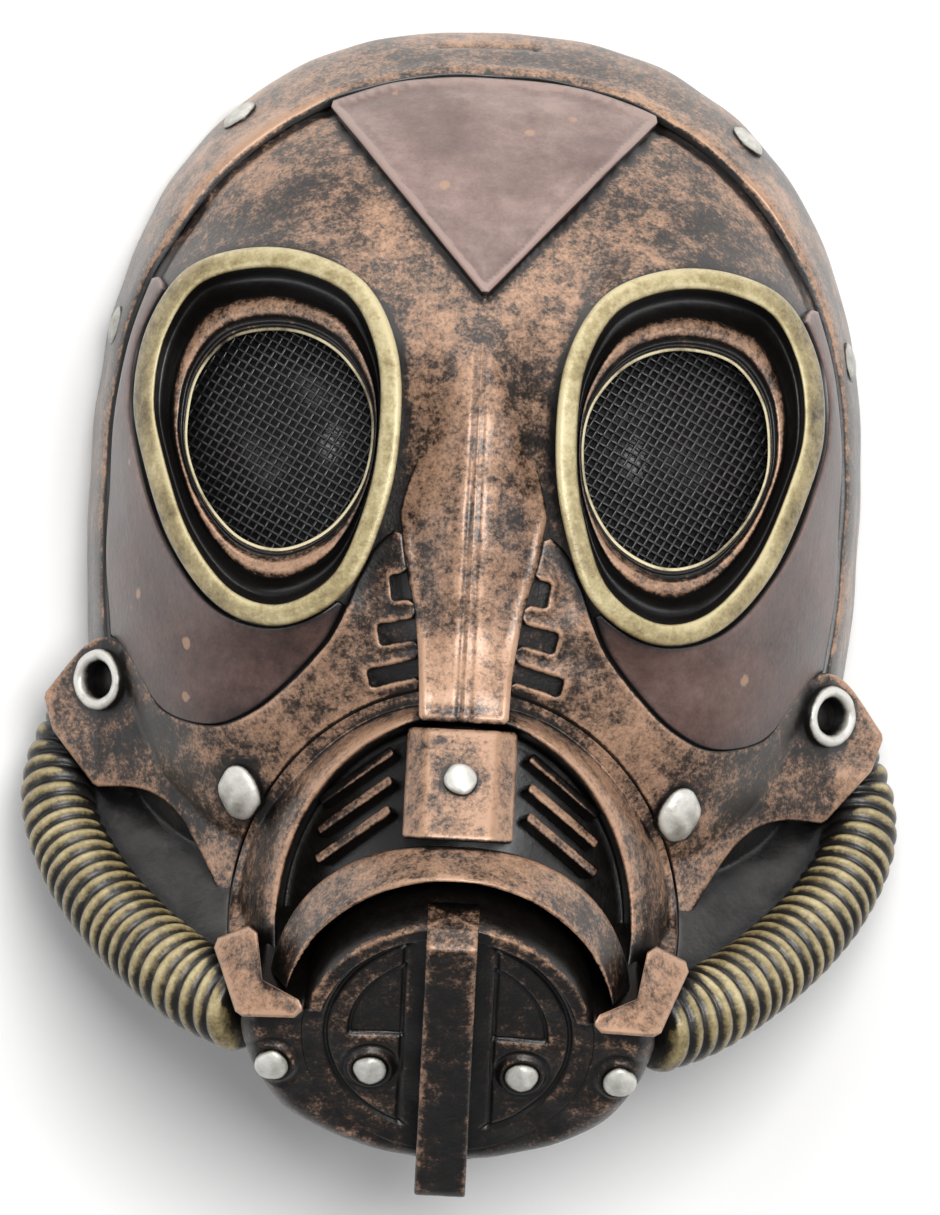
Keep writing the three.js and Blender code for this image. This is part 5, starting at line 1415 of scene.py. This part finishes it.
for name, at, seed in (("can_rivet", CAN_RIVET_AT, 24), ("chin_rivet", CHIN_RIVET_AT, 25)):
    pair(name, loft(in_can(dome(*SMALL_RIVET, seed) + [*at, 0.2])), SILVER, "latex_silver", name)

y = mix(BRACKET_TOP, BRACKET_BOTTOM, 0.46)
tilt = np.array([0, -BRACKET_SLOPE, 1.0])
tilt /= np.linalg.norm(tilt)
bracket_dome = placed(dome(*SMALL_RIVET, 26), np.array([0, y, bracket_lift(y)]), tilt)
piece("bracket_rivet", loft(bracket_dome), SILVER, "latex_silver", "bracket_rivet")


# Painted shade in the hollows, partly the black the dry-brush left there, and worn edges, for the paints.
def soften(volume, radius):
    """A volume blurred by a bell of that radius in cells."""
    reach = int(math.ceil(2.2 * radius))
    taps = np.exp(-(np.arange(-reach, reach + 1) ** 2) / (2 * radius**2))
    taps /= taps.sum()
    for axis in range(3):
        total = volume * taps[reach]
        for k in range(1, reach + 1):
            for way in (k, -k):
                total += np.roll(volume, way, axis) * taps[reach + k]
        volume = total
    return volume


CELL = 1.0
MARGIN = 22.0
low = np.array([-113, -152, 0]) - MARGIN
size = ((np.array([113, 152, 140]) + MARGIN - low) / CELL).astype(int) + 1
SHADE = 1.25  # more than 1 deepens the painted shade everywhere and leaves less copper
quads = np.concatenate([points[f] for _, points, faces, _ in PIECES for f in faces if f.shape[1] == 4])
a, b, c, d = (quads[:, k] for k in range(4))
area = SHADE * np.linalg.norm(np.cross(c - a, d - b), axis=1) / 2 / CELL**2
strides = np.array([size[1] * size[2], size[2], 1])
filled = np.zeros(math.prod(size))  # each cell holds the area of the surfaces in it
for u, v in ((1 / 4, 1 / 4), (3 / 4, 1 / 4), (1 / 4, 3 / 4), (3 / 4, 3 / 4)):
    q = ((a * (1 - u) + b * u) * (1 - v) + (d * (1 - u) + c * u) * v - low) / CELL
    base = np.floor(q).astype(int)
    part = q - base
    for corner in range(8):
        step = np.array([corner & 1, corner >> 1 & 1, corner >> 2 & 1])
        weight = np.prod(np.where(step, part, 1 - part), 1) * area / 4
        filled += np.bincount((base + step) @ strides, weight, len(filled))
filled = np.minimum(filled, 1).reshape(size).astype(np.float32)
FACING_WAY = np.array([0, 0.5, 0.87])  # faces turned to the front and the crown are made lighter, those turned away darker
LOOK_GAINS = [(0.32, 0.9, 0.5), (0.45, 0.4, 0.3), (0.8, 0.2, 0.2)]
scales = [(1.3, 1.9), (2.6, 4.2), (5.5, 9.0)]  # blur and reach of each look, in millimetres
blurred = [soften(filled, blur / CELL) for blur, _ in scales]


def sample(volume, p):
    q = (p - low) / CELL
    base = np.clip(np.floor(q).astype(int), 0, size - 2)
    t = q - base
    total = 0
    for corner in range(8):
        step = np.array([corner & 1, corner >> 1 & 1, corner >> 2 & 1])
        weight = np.prod(np.where(step, t, 1 - t), 1)
        i, j, k = (base + step).T
        total = total + volume[i, j, k] * weight
    return total


for made_object, points, faces, dark in PIECES:
    mesh = made_object.data
    normals = np.zeros(len(mesh.vertices) * 3, np.float32)
    mesh.vertices.foreach_get("normal", normals)
    normals = normals.reshape(-1, 3).astype(float)
    looks = []
    for (blur, reach), volume in zip(scales, blurred):
        flat_wall = CELL * math.exp(-(reach**2) / (2 * blur**2)) / (blur * math.sqrt(2 * math.pi))
        nearby = sample(volume, points + normals * reach) - flat_wall
        looks.append(nearby * blur * math.sqrt(2 * math.pi))
    hollow = 0
    for look, (flat, gain, most) in zip(looks, LOOK_GAINS):
        hollow = hollow + np.clip((look - flat) * gain, 0, most)
    # The first value is painted shade in the hollows, partly the dry-brush's black, with each piece's own
    # darker or lighter paint added.
    values = {
        "hollow": np.clip(hollow + dark, 0, 1),
        "edge": np.clip((0.13 - looks[0]) * 6, 0, 1),
        "brushed": normals @ FACING_WAY,
    }
    for name, value in values.items():
        attribute = mesh.attributes.new(name, "FLOAT", "POINT")
        attribute.data.foreach_set("value", value.astype(np.float32))

# Stage.
paint = Paint("floor")
floor_tone = paint.ramp(paint.noise(3, 3, 0.5), (0.3, "f1f0ee"), (0.7, "f6f5f3"))
floor_paint = paint.finish(floor_tone, 0.7, paint.bump(paint.noise(300), 0.0002, 0.2))
bpy.ops.mesh.primitive_plane_add(size=8, location=(0, 0, 0))
floor = bpy.context.object
floor.name = "floor"
floor.data.materials.append(floor_paint)

world = bpy.data.worlds.new("studio")
world.use_nodes = True
world.node_tree.nodes["Background"].inputs["Color"].default_value = (0.94, 0.96, 1.0, 1)
world.node_tree.nodes["Background"].inputs["Strength"].default_value = 0.3
bpy.context.scene.world = world


def area_light(name, place, target, width, height, power, colour=(1, 1, 1)):
    light = bpy.data.lights.new(name, "AREA")
    light.shape = "RECTANGLE"
    light.size, light.size_y, light.energy, light.color = width, height, power, colour
    lamp = bpy.data.objects.new(name, light)
    lamp.location = place
    lamp.rotation_euler = (Vector(target) - Vector(place)).to_track_quat("-Z", "Y").to_euler()
    lamp.visible_camera = False
    bpy.context.scene.collection.objects.link(lamp)


area_light("key", (-0.15, 1.25, 0.85), (0, 0, 0.05), 1.3, 0.8, 8.5, (1.0, 0.99, 0.97))
area_light("crown", (0.25, 1.5, 0.35), (0, 0, 0.08), 1.2, 0.5, 2.2)
area_light("top", (0.28, 0.3, 1.8), (0, 0, 0.06), 0.8, 0.8, 27)
area_light("side_left", (-1.3, -0.1, 0.8), (0, 0, 0.05), 0.7, 1.0, 4, (0.95, 0.97, 1.0))
area_light("side_right", (1.3, 0.1, 0.8), (0, 0, 0.05), 0.7, 1.0, 4, (0.95, 0.97, 1.0))

CAMERA_HEIGHT, FOCUS_HEIGHT, FRAME_HEIGHT = 6000, 80, 309.2
camera = bpy.data.cameras.new("camera")
camera.sensor_fit = "VERTICAL"
camera.sensor_height = 36
camera.lens = camera.sensor_height * (CAMERA_HEIGHT - FOCUS_HEIGHT) / FRAME_HEIGHT
camera.clip_end = 20
camera_object = bpy.data.objects.new("camera", camera)
camera_object.location = (0.0002, 0.0009, CAMERA_HEIGHT * MM)
camera_object.rotation_euler = (0, 0, math.radians(2.9))
bpy.context.scene.collection.objects.link(camera_object)
bpy.context.scene.camera = camera_object
bpy.context.scene.view_settings.view_transform = "Standard"
